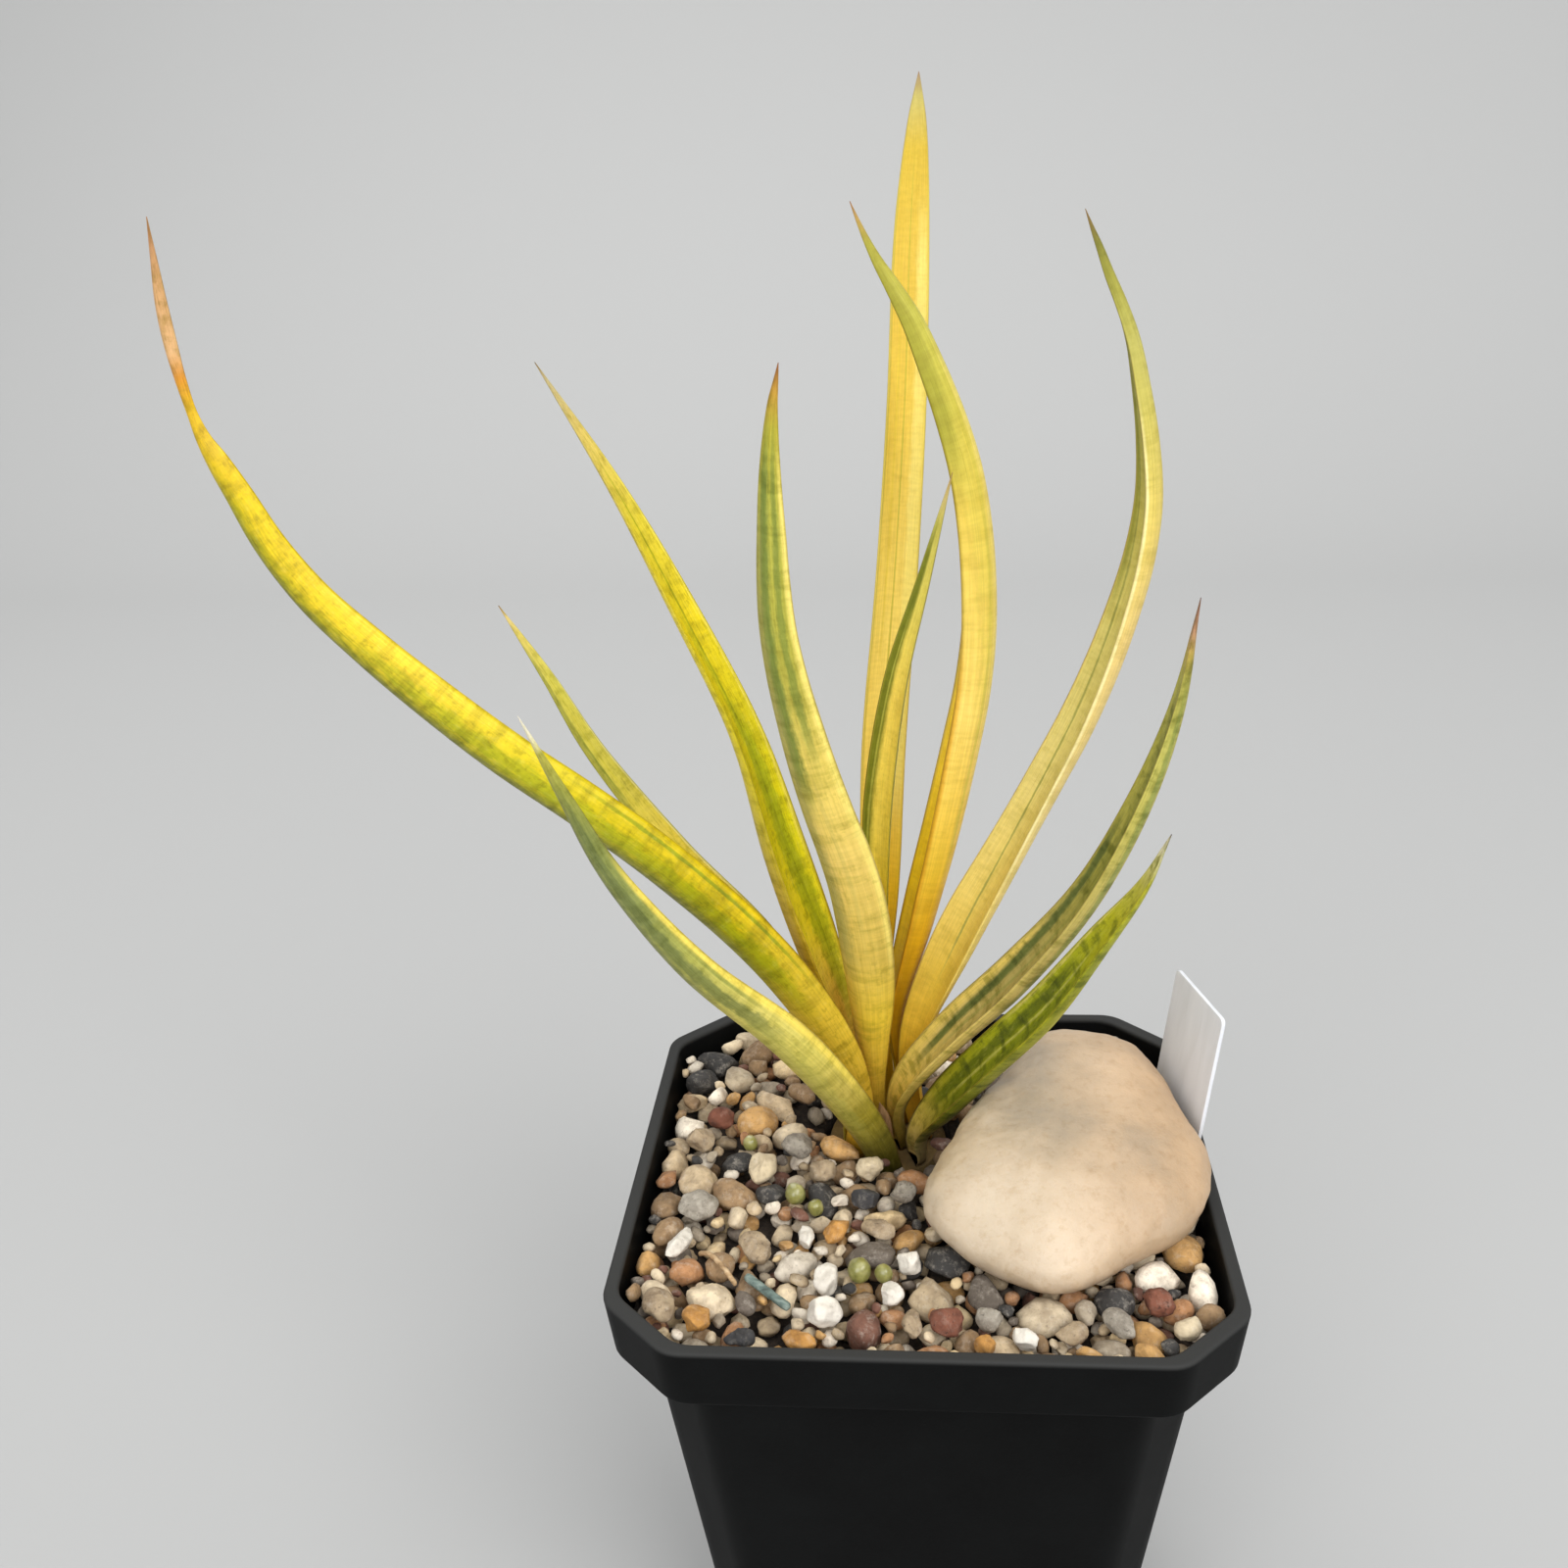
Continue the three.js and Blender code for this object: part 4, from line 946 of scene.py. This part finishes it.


# ---------------------------------------------------------------- Stone finishes
# Every pebble is rough, dusty mineral: limestone, lava, basalt, jasper and river quartz.
# One shader group gives them all clouded colour, specks, pits painted dark with their shade and a chalky
# bloom of dust.
def build_mineral():
    """Shader group: clouded stone colour, roughness and height from object coordinates."""
    tree, plug, result = new_group(
        "mineral",
        (("Colour", "#a09080"), ("Dark Share", 0.45), ("Dust", 0.25), ("Specks", 0.3), ("Pits", 0.3),
         ("Seed", 0.0)),
        ("Colour", "Roughness", "Height"),
    )
    place = tree.nodes.new("ShaderNodeTexCoord").outputs["Object"]

    def noise_at(scale, detail, roughness, distortion=0.0):
        texture = tree.nodes.new("ShaderNodeTexNoise")
        texture.noise_dimensions = "4D"
        wire(tree, texture, Vector=place, W=plug["Seed"], Scale=scale, Detail=detail,
             Roughness=roughness, Distortion=distortion)
        return texture.outputs["Fac"]

    clouds = noise_at(420, 5, 0.62, 0.4)
    specks = noise_at(2300, 2, 0.5)
    pits = noise_at(1500, 3, 0.7)
    bloom = noise_at(700, 6, 0.75)
    # The pits are sunk in the height and painted near black: painted shade inside them.
    holes = product(tree, span(tree, pits, 0.6, 0.7), plug["Pits"])
    colour = plug["Colour"]
    for kind, mask, code in (
        ("MULTIPLY", product(tree, span(tree, clouds, 0.35, 0.7), plug["Dark Share"]), "#7d6b5a"),
        ("MIX", product(tree, span(tree, specks, 0.62, 0.72), plug["Specks"]), "#3b332c"),
        ("MIX", product(tree, span(tree, bloom, 0.48, 0.68), plug["Dust"]), "#d9cfc0"),
        ("MIX", holes, "#2a2420"),
    ):
        colour = mix_colours(tree, kind, mask, colour, code)
    wire(
        tree, result, Colour=colour, Roughness=span(tree, bloom, 0.3, 0.7, 0.72, 0.95),
        Height=calculate(tree, "SUBTRACT", bloom, holes),
    )
    return tree


MINERAL = build_mineral()


def stone_material(name, depth=0.00035, **values):
    """Stone material around the mineral group; returns it with its node tree and group node."""
    material, tree, shader = new_material(name, roughness=0.85)
    face = add_group(tree, MINERAL, **values)
    wire(tree, shader, Base_Color=face.outputs["Colour"], Roughness=face.outputs["Roughness"])
    add_bump(tree, shader, face.outputs["Height"], depth)
    return material, tree, face


# ---------------------------------------------------------------- Loose pebbles
# The stones that stand out on the gravel are worn chips, picked out one by one.
# Each keeps its place and length, and gets chipped facets, blunt edges and a rough face.
PEBBLE_LOOKS = {
    "white": dict(Colour="#e4ddd0", Dark_Share=0.3, Dust=0.2, Specks=0.25, Pits=0.15),
    "cream": dict(Colour="#d8c6a4", Dark_Share=0.4, Dust=0.25, Specks=0.2, Pits=0.15),
    "tan": dict(Colour="#ac9779", Dark_Share=0.6, Dust=0.25, Specks=0.4, Pits=0.3),
    "grey": dict(Colour="#9d9587", Dark_Share=0.6, Dust=0.35, Specks=0.5, Pits=0.35),
    "amber": dict(Colour="#c58f47", Dark_Share=0.6, Dust=0.2, Specks=0.1, Pits=0.1),
    "red": dict(Colour="#7d4a36", Dark_Share=0.6, Dust=0.12, Specks=0.3, Pits=0.5),
    "dark": dict(Colour="#3d3c3d", Dark_Share=0.5, Dust=0.15, Specks=0.3, Pits=0.5),
}


def chip(points, generator, cuts, depth=(0.7, 0.92)):
    """Flattens a rounded shape against a few random planes, as chips knocked off a pebble."""
    centre = (points.max(0) + points.min(0)) / 2
    half = (points.max(0) - points.min(0)) / 2
    unit = (points - centre) / half
    for _ in range(cuts):
        normal = generator.normal(size=3)
        normal /= np.linalg.norm(normal)
        reach = np.abs(unit @ normal).max() * generator.uniform(*depth)
        over = np.maximum(unit @ normal - reach, 0)
        unit = unit - over[:, None] * normal * 0.93
    return centre + unit * half


def roughen(points, normals, size, height, seed):
    """Moves points along their normals by smooth noise; sizes in metres."""
    shift = Vector((seed * 3.1, seed * 1.7, seed * 0.9))
    lumps = [noise.fractal(Vector(p) / size + shift, 0.9, 2.1, 4) for p in points]
    return points + normals * np.array(lumps)[:, None] * height


def welded_copy(node_name, levels):
    """Merged copy of a solid, refined by subdivision; the solid itself is left alone."""
    copy = add_object(node_name + "_copy", frame["nodes"][node_name].data.copy())
    work = bmesh.new()
    work.from_mesh(copy.data)
    bmesh.ops.remove_doubles(work, verts=work.verts, dist=2e-6)
    bmesh.ops.join_triangles(
        work, faces=work.faces, angle_face_threshold=0.9, angle_shape_threshold=0.9,
    )
    work.to_mesh(copy.data)
    work.free()
    refine = copy.modifiers.new("refine", "SUBSURF")
    refine.levels = refine.render_levels = levels
    settle(copy)
    mesh = copy.data
    points = np.array([v.co for v in mesh.vertices])
    normals = np.array([v.normal for v in mesh.vertices])
    faces = [tuple(p.vertices) for p in mesh.polygons]
    bpy.data.objects.remove(copy)
    return points, normals, faces


def vertex_normals(points, faces):
    mesh = new_mesh("normals", points, faces)
    normals = np.array([v.normal for v in mesh.vertices])
    bpy.data.meshes.remove(mesh)
    return normals


def colour_of(node_name):
    """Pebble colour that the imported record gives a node."""
    slots = {part["node"]: part["material_slot"] for part in frame["record"]["subparts"]}
    return slots[node_name].replace("pebble_", "")


PEBBLE_NODES = sorted(n for n in frame["nodes"] if n.startswith("pebble_"))
for look, values in PEBBLE_LOOKS.items():
    members = [n for n in PEBBLE_NODES if colour_of(n) == look]
    all_points, all_faces, tones = [], [], []
    for name in members:
        seed = PEBBLE_NODES.index(name)
        generator = np.random.default_rng(seed + 11)
        points, normals, faces = welded_copy(name, 2)
        points = chip(points, generator, 9, (0.62, 0.9))
        normals = vertex_normals(points, faces)
        points = roughen(points, normals, 0.0016, 0.00022, seed)
        first = sum(len(p) for p in all_points)
        all_points.append(points)
        all_faces += [tuple(i + first for i in face) for face in faces]
        tones += [seed / len(PEBBLE_NODES)] * len(points)
    pebbles = new_piece(f"{look}_pebbles", np.concatenate(all_points), all_faces)
    store(pebbles, "tone", tones)
    material, tree, face = stone_material(f"{look}_stone", **values)
    wire(tree, face, Seed=stored(tree, "tone"))
    pebbles.data.materials.append(material)
    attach(pebbles, "root")
    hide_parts(*members)


# ---------------------------------------------------------------- River stone
# One water-worn, cream-coloured quartz stone, smooth to the touch, laid on the gravel.
# It has faint clouds of ochre and grey, a few bruises and a slightly chalky skin.
def build_river_stone():
    points, normals, faces = welded_copy("river_stone", 2)
    points = roughen(points, normals, 0.016, 0.0007, 3)
    points = roughen(points, vertex_normals(points, faces), 0.004, 0.00012, 8)
    return new_piece("worn_stone", points, faces)


def river_stone_material():
    material, tree, shader = new_material(
        "worn_quartz", "#cdbfa8", 0.55, Subsurface_Weight=0.15,
        Subsurface_Radius=(0.004, 0.003, 0.002), Subsurface_Scale=1.0,
    )
    broad, wide_colour = mixed_colours(
        tree, 38, [(0.28, "#9c8f7c"), (0.45, "#b9a78e"), (0.6, "#cbbca6"), (0.75, "#ceb690")],
        detail=6, roughness=0.55,
    )
    fine, fine_colour = mixed_colours(
        tree, 620, [(0.3, "#e0d2ba"), (0.5, "#ffffff"), (0.75, "#f8f2e8")], detail=4, roughness=0.7,
    )
    low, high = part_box("river_stone")
    place = object_axes(tree)
    stain = product(tree, span(tree, place["X"], low.x + 0.008, high.x - 0.004), broad)
    # Painted shade: the lowest few millimetres of the stone are darkened towards brown, where it curves
    # under.
    painted_underside_shade = span(tree, place["Z"], low.z + 0.001, low.z + 0.008, 0.45, 0.0)
    colour = mix_colours(tree, "MULTIPLY", 0.45, wide_colour, fine_colour)
    colour = mix_colours(tree, "MULTIPLY", stain, colour, "#edc592")
    colour = mix_colours(tree, "MULTIPLY", painted_underside_shade, colour, "#a08468")
    wire(tree, shader, Base_Color=colour, Roughness=span(tree, broad, 0, 1, 0.36, 0.55, "LINEAR"))
    add_bump(tree, shader, fine, 0.00012)
    return material


worn_stone = build_river_stone()
worn_stone.data.materials.append(river_stone_material())
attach(worn_stone, "root")
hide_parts("river_stone")


# ---------------------------------------------------------------- Gravel
# Mixed horticultural gravel, 2 to 9 mm, poured level and packed by its own weight.
# Stones are laid one by one at the lowest spot that takes them, clear of whatever stands there.
GRAVEL_FLOOR = 90.9
GRAVEL_CELL = 0.45
GRAVEL_HALF = 46.9
GRAVEL_CORNER = 10.9
GRAVEL_CLEARANCE = 0.12
GRAVEL_SEED = 7
STONE_SHAPES = 36
MAP_HALF = 50
GOLDEN_TURN = 2.39996
# Tries, smallest and largest half length and highest level of each round of pouring.
GRAVEL_ROUNDS = ((260, 2.3, 3.4, 94.6), (330, 1.6, 2.6, 95.5), (300, 2.9, 4.8, 99.3),
                 (600, 1.9, 3.3, 98.9), (500, 1.0, 1.8, 98.0))
# Share of the stones and colour of each kind.
GRAVEL_KINDS = (
    (0.14, "#dbc8a8"), (0.15, "#c2ac8a"), (0.08, "#aa9c86"), (0.10, "#efe3cf"), (0.12, "#9a7d5a"),
    (0.08, "#cda062"), (0.06, "#775040"), (0.07, "#3a3836"), (0.06, "#e4ca9c"), (0.05, "#776c60"),
    (0.09, "#b8865a"),
)


def sphere_spots(count):
    """Points spread evenly over a sphere of radius one, along a spiral."""
    order = np.arange(count) + 0.5
    height = 1 - 2 * order / count
    reach = np.sqrt(1 - height ** 2)
    turn = GOLDEN_TURN * order
    return np.stack([reach * np.cos(turn), reach * np.sin(turn), height], 1)


SPHERE_SPOTS = sphere_spots(90)


def lay_maps():
    """Floor and ceiling heights over the bed, in millimetres, on a square grid."""
    count = int(2 * MAP_HALF / GRAVEL_CELL)
    centres = (np.arange(count) + 0.5) * GRAVEL_CELL - MAP_HALF
    floor = np.full((count, count), GRAVEL_FLOOR)
    ceiling = np.full((count, count), 1e3)
    gx, gy = np.meshgrid(centres, centres, indexing="ij")
    outside = np.maximum(np.abs(gx), np.abs(gy)) > GRAVEL_HALF
    outside |= np.abs(gx) + np.abs(gy) > 2 * GRAVEL_HALF - GRAVEL_CORNER
    ceiling[outside] = 0
    for name, node in frame["nodes"].items():
        if name in ("pot", "potting_mix", "gravel_bed"):
            continue
        low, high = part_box(name)
        tree = BVHTree.FromPolygons(
            [v.co for v in node.data.vertices], [tuple(p.vertices) for p in node.data.polygons],
        )
        cells = []
        for axis in (0, 1):
            first = int((low[axis] / MM + MAP_HALF) / GRAVEL_CELL) - 1
            last = int((high[axis] / MM + MAP_HALF) / GRAVEL_CELL) + 2
            cells.append(range(max(first, 0), min(last, count)))
        for i in cells[0]:
            for j in cells[1]:
                spot = Vector((centres[i] * MM, centres[j] * MM, 0.05))
                if name == "crown":
                    spot.z = 0.2
                    hit = tree.ray_cast(spot, Vector((0, 0, -1)))[0]
                    if hit:
                        floor[i, j] = max(floor[i, j], hit.z / MM)
                    continue
                hit = tree.ray_cast(spot, Vector((0, 0, 1)), 0.07)[0]
                if hit:
                    ceiling[i, j] = min(ceiling[i, j], hit.z / MM - GRAVEL_CLEARANCE)
    return floor, ceiling


def tilted_shape(half, turn):
    """Lower and upper surface of a turned ellipsoid over grid cells round its centre."""
    spin = np.array(Euler(turn).to_matrix())
    form = spin @ np.diag(1 / np.array(half) ** 2) @ spin.T
    reach = int(max(half) / GRAVEL_CELL) + 1
    i, j = np.meshgrid(np.arange(-reach, reach + 1), np.arange(-reach, reach + 1), indexing="ij")
    x, y = i * GRAVEL_CELL, j * GRAVEL_CELL
    slope = form[0, 2] * x + form[1, 2] * y
    rest = form[0, 0] * x * x + 2 * form[0, 1] * x * y + form[1, 1] * y * y - 1
    root = slope ** 2 - form[2, 2] * rest
    inside = root > 0
    root = np.sqrt(root[inside])
    slope = slope[inside]
    return i[inside], j[inside], (-slope - root) / form[2, 2], (-slope + root) / form[2, 2]


def standing_solids():
    """Box, search tree and corners in millimetres of whatever rises through the gravel."""
    found = []
    for name, node in frame["nodes"].items():
        if name in ("potting_mix", "gravel_bed"):
            continue
        mesh = worn_stone.data if name == "river_stone" else node.data
        corners = np.array([v.co for v in mesh.vertices]) / MM
        tree = BVHTree.FromPolygons(
            [tuple(c) for c in corners], [tuple(p.vertices) for p in mesh.polygons],
        )
        found.append((corners.min(0), corners.max(0), tree, corners))
    return found


def touches(stone, solids):
    """True if an ellipsoid stone comes within the clearance of a solid."""
    centre, half = np.array(stone[:3]), np.array(stone[3:6])
    spin = np.array(Euler(stone[6:9]).to_matrix())
    shell = centre + (SPHERE_SPOTS * half) @ spin.T
    for low, high, tree, corners in solids:
        if (shell.max(0) < low).any() or (shell.min(0) > high).any():
            continue
        near = ((corners - centre) @ spin) / (half + GRAVEL_CLEARANCE)
        if (np.linalg.norm(near, axis=1) < 1).any():
            return True
        for spot in shell:
            place, normal, _, gap = tree.find_nearest(Vector(spot), 3)
            if place is None:
                continue
            if gap < GRAVEL_CLEARANCE or (Vector(spot) - place).dot(normal) < 0:
                return True
    return False


def pour_gravel():
    """Lays the stones; returns rows of place, half sizes, turn for those that show."""
    generator = np.random.default_rng(GRAVEL_SEED)
    floor, ceiling = lay_maps()
    count = floor.shape[0]
    solids = standing_solids()
    stones, tops = [], []
    for tries, smallest, largest, level in GRAVEL_ROUNDS:
        sizes = np.sort(generator.uniform(smallest, largest, tries))[::-1]
        for size in sizes:
            half = size * np.array((1, generator.uniform(0.62, 0.92), generator.uniform(0.5, 0.78)))
            turn = (generator.normal(0, 0.3), generator.normal(0, 0.3), generator.uniform(0, 6.283))
            di, dj, low, high = tilted_shape(half, turn)
            edge = int(size / GRAVEL_CELL) + 2
            ci = generator.integers(edge, count - edge, 160)
            cj = generator.integers(edge, count - edge, 160)
            ground = floor[ci[:, None] + di, cj[:, None] + dj]
            lid = ceiling[ci[:, None] + di, cj[:, None] + dj]
            centre = (ground - low).max(1)
            fits = (centre[:, None] + high <= lid).all(1) & (centre + high.max() <= level)
            if not fits.any():
                continue
            best = int(np.argmin(np.where(fits, centre + high.max(), 1e6)))
            i, j, z = ci[best], cj[best], centre[best]
            floor[i + di, j + dj] = np.maximum(floor[i + di, j + dj], z + high)
            x = (i + 0.5) * GRAVEL_CELL - MAP_HALF
            y = (j + 0.5) * GRAVEL_CELL - MAP_HALF
            stones.append((x, y, z, *half, *turn))
            tops.append((i + di, j + dj, z + high))
    shown = [k for k, (i, j, top) in enumerate(tops) if (top >= floor[i, j] - 0.01).any()]
    clear = [k for k in shown if not touches(stones[k], solids)]
    return np.array(stones)[clear]


def gravel_shapes():
    """Collection of unit stones: chipped, blunt-edged lumps of a few dozen faces each."""
    shapes = bpy.data.collections.new("gravel_shapes")
    for k in range(STONE_SHAPES):
        generator = np.random.default_rng(100 + k)
        work = bmesh.new()
        bmesh.ops.create_icosphere(work, subdivisions=3 if k % 2 else 2, radius=1)
        points = np.array([v.co for v in work.verts])
        faces = [tuple(v.index for v in f.verts) for f in work.faces]
        work.free()
        points = chip(points, generator, int(generator.integers(7, 13)), (0.6, 0.9))
        points = roughen(points, points / np.linalg.norm(points, axis=1)[:, None], 0.7, 0.13, k)
        points = points / np.abs(points).max(0)
        points = points / np.maximum(1, np.linalg.norm(points, axis=1))[:, None]
        mesh = new_mesh(f"stone_shape_{k:02d}", points, faces)
        mesh.shade_smooth()
        shapes.objects.link(bpy.data.objects.new(mesh.name, mesh))
    return shapes


def gravel_tree():
    """Geometry nodes: one shape from the collection on each point, by its own size and turn."""
    tree = bpy.data.node_groups.new("pour_stones", "GeometryNodeTree")
    for title, way, kind in (
        ("Spots", "INPUT", "Geometry"), ("Shapes", "INPUT", "Collection"),
        ("Finish", "INPUT", "Material"), ("Size", "INPUT", "Float"), ("Stones", "OUTPUT", "Geometry"),
    ):
        tree.interface.new_socket(name=title, in_out=way, socket_type="NodeSocket" + kind)
    given = tree.nodes.new("NodeGroupInput").outputs

    def named(title, kind):
        node = tree.nodes.new("GeometryNodeInputNamedAttribute")
        node.data_type = kind
        return wire(tree, node, Name=title).outputs["Attribute"]

    shapes = add_node(
        tree, "GeometryNodeCollectionInfo", Collection=given["Shapes"], Separate_Children=True,
        Reset_Children=True,
    )
    turn = add_node(tree, "FunctionNodeEulerToRotation", named("turn", "FLOAT_VECTOR"))
    size = tree.nodes.new("ShaderNodeVectorMath")
    size.operation = "SCALE"
    wire(tree, size, named("half_size", "FLOAT_VECTOR"), Scale=given["Size"])
    place = add_node(
        tree, "GeometryNodeInstanceOnPoints", Points=given["Spots"],
        Instance=shapes.outputs["Instances"], Pick_Instance=True,
        Instance_Index=named("shape", "INT"), Rotation=turn.outputs[0], Scale=size.outputs[0],
    )
    real = add_node(tree, "GeometryNodeRealizeInstances", place.outputs["Instances"])
    finish = add_node(
        tree, "GeometryNodeSetMaterial", Geometry=real.outputs["Geometry"], Material=given["Finish"],
    )
    add_node(tree, "NodeGroupOutput", finish.outputs["Geometry"])
    return tree


def set_inputs(modifier, **values):
    """Sets named inputs of a geometry nodes modifier by their identifiers."""
    for item in modifier.node_group.interface.items_tree:
        if item.item_type == "SOCKET" and item.in_out == "INPUT" and item.name in values:
            modifier[item.identifier] = values[item.name]


def gravel_material():
    material, tree, face = stone_material(
        "mixed_gravel", Dark_Share=0.55, Dust=0.28, Specks=0.3, Pits=0.25, depth=0.0003,
    )
    edge = 0.0
    stops = []
    for share, code in GRAVEL_KINDS:
        stops.append((edge, code))
        edge += share
    tone = stored(tree, "tone")
    vary = add_node(
        tree, "ShaderNodeHueSaturation", Value=span(tree, tone, 0, 1, 0.78, 1.2, "LINEAR"),
        Color=add_ramp(tree, stored(tree, "kind"), stops, "CONSTANT"),
    )
    wire(tree, face, Colour=vary.outputs["Color"], Seed=product(tree, tone, 40))
    return material


def build_gravel():
    stones = pour_gravel()
    generator = np.random.default_rng(GRAVEL_SEED + 1)
    spots = new_piece("gravel_stones", stones[:, :3] * MM, [])
    store(spots, "half_size", stones[:, 3:6] * MM, "FLOAT_VECTOR")
    store(spots, "turn", stones[:, 6:9], "FLOAT_VECTOR")
    store(spots, "kind", generator.uniform(0, 1, len(stones)))
    store(spots, "tone", generator.uniform(0, 1, len(stones)))
    store(spots, "shape", generator.integers(0, STONE_SHAPES, len(stones)), "INT")
    pour = spots.modifiers.new("pour_stones", "NODES")
    pour.node_group = gravel_tree()
    set_inputs(pour, Shapes=gravel_shapes(), Finish=gravel_material(), Size=1.0)
    settle(spots)
    spots.data.shade_smooth()
    return spots


def build_fines():
    """Dark grit that fills the bed under the stones: the bed's own solid with its top let down."""
    points, _, faces = welded_copy("gravel_bed", 0)
    top = GRAVEL_FLOOR * MM
    over = points[:, 2] > top
    points[over, 2] = top + (points[over, 2] - top) * 0.08
    return new_piece("gravel_fines", points, faces)


gravel = build_gravel()
fines = build_fines()
fines.data.materials.append(grainy_material(
    "dark_grit", 900, [(0.3, "#17120e"), (0.6, "#3a3027"), (0.85, "#6d5c4a")], 0.0006, roughness=0.95,
))
for piece in (gravel, fines):
    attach(piece, "root")
    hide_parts("gravel_bed")


# ---------------------------------------------------------------- Fertiliser prills
# Coated feed grains scattered on the gravel: olive-green beads, slightly see-through and glossy.
PRILL_NODES = sorted(n for n in frame["nodes"] if n.startswith("prill_"))


def build_prills():
    points, faces = [], []
    for order, node_name in enumerate(PRILL_NODES):
        spots, normals, sides = welded_copy(node_name, 2)
        spots = roughen(spots, normals, 0.0016, 0.00012, order + 11)
        faces += [tuple(len(points) + k for k in side) for side in sides]
        points += list(spots)
    return new_piece("feed_prills", points, faces)


feed_prills = build_prills()
feed_prills.data.materials.append(grainy_material(
    "coated_prill", 420, [(0.3, "#6c6a34"), (0.5, "#8a874c"), (0.7, "#a9a470")], 0.00008, detail=4,
    roughness=0.3, Subsurface_Weight=0.35, Subsurface_Radius=(0.0012, 0.0012, 0.0003),
    Subsurface_Scale=1.0, Coat_Weight=0.5, Coat_Roughness=0.12,
))
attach(feed_prills, "root")
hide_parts(*PRILL_NODES)


# ---------------------------------------------------------------- Dry twig and stick fragment
# Two scraps of dead plant lying on the gravel: a forked straw-coloured twig, a grey-green stalk.
# Both are split, fibrous and a little shrivelled along their length.
SCRAPS = {
    "dry_twig": [(0.3, "#7d6242"), (0.5, "#b0916a"), (0.72, "#cbb28e")],
    "stick_fragment": [(0.3, "#3a443e"), (0.5, "#5f7069"), (0.72, "#919c92")],
}
for order, (node_name, stops) in enumerate(SCRAPS.items()):
    points, normals, faces = welded_copy(node_name, 2)
    points = roughen(points, normals, 0.0011, 0.00009, order + 21)
    scrap = new_piece(node_name + "_fibres", points, faces)
    scrap.data.materials.append(grainy_material(
        node_name + "_fibre", 900, stops, 0.00015, stretch=(0.35, 1, 1), roughness=0.75,
    ))
    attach(scrap, "root")
    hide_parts(node_name)


# ---------------------------------------------------------------- Plant label
# A blank tag of stiff white sheet plastic with its top corners cut, pushed in beside the stone.
# Its die-cut edges are softened and its faces are faintly brushed and dusty near the gravel.
LABEL_EDGE = 0.12 * MM
label_low, label_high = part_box("plant_label")


def build_label():
    copy = add_object("label_sheet", frame["nodes"]["plant_label"].data.copy())
    work = bmesh.new()
    work.from_mesh(copy.data)
    bmesh.ops.remove_doubles(work, verts=work.verts, dist=2e-6)
    bmesh.ops.dissolve_limit(work, angle_limit=0.02, verts=work.verts, edges=work.edges)
    work.to_mesh(copy.data)
    work.free()
    edge = copy.modifiers.new("edge", "BEVEL")
    edge.width = LABEL_EDGE
    edge.segments = 3
    settle(copy)
    copy.data.materials.clear()
    return copy


def label_material():
    material, tree, shader = new_material("white_tag", roughness=0.4)
    brushed, colour = mixed_colours(
        tree, 300, [(0.3, "#ced0d4"), (0.55, "#d8dadf"), (0.75, "#dddfe3")], stretch=(1, 1, 0.15),
    )
    height = object_axes(tree)["Z"]
    soiled = span(tree, height, label_low.z + 0.004, label_low.z + 0.02, 0.45, 0.0)
    wire(
        tree, shader, Base_Color=mix_colours(tree, "MULTIPLY", soiled, colour, "#b39c7c"),
        Roughness=span(tree, brushed, 0.3, 0.7, 0.34, 0.5),
    )
    add_bump(tree, shader, brushed, 0.00003)
    return material


label = build_label()
label.data.materials.append(label_material())
label.data.set_sharp_from_angle(angle=math.radians(40))
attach(label, "root")
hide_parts("plant_label")
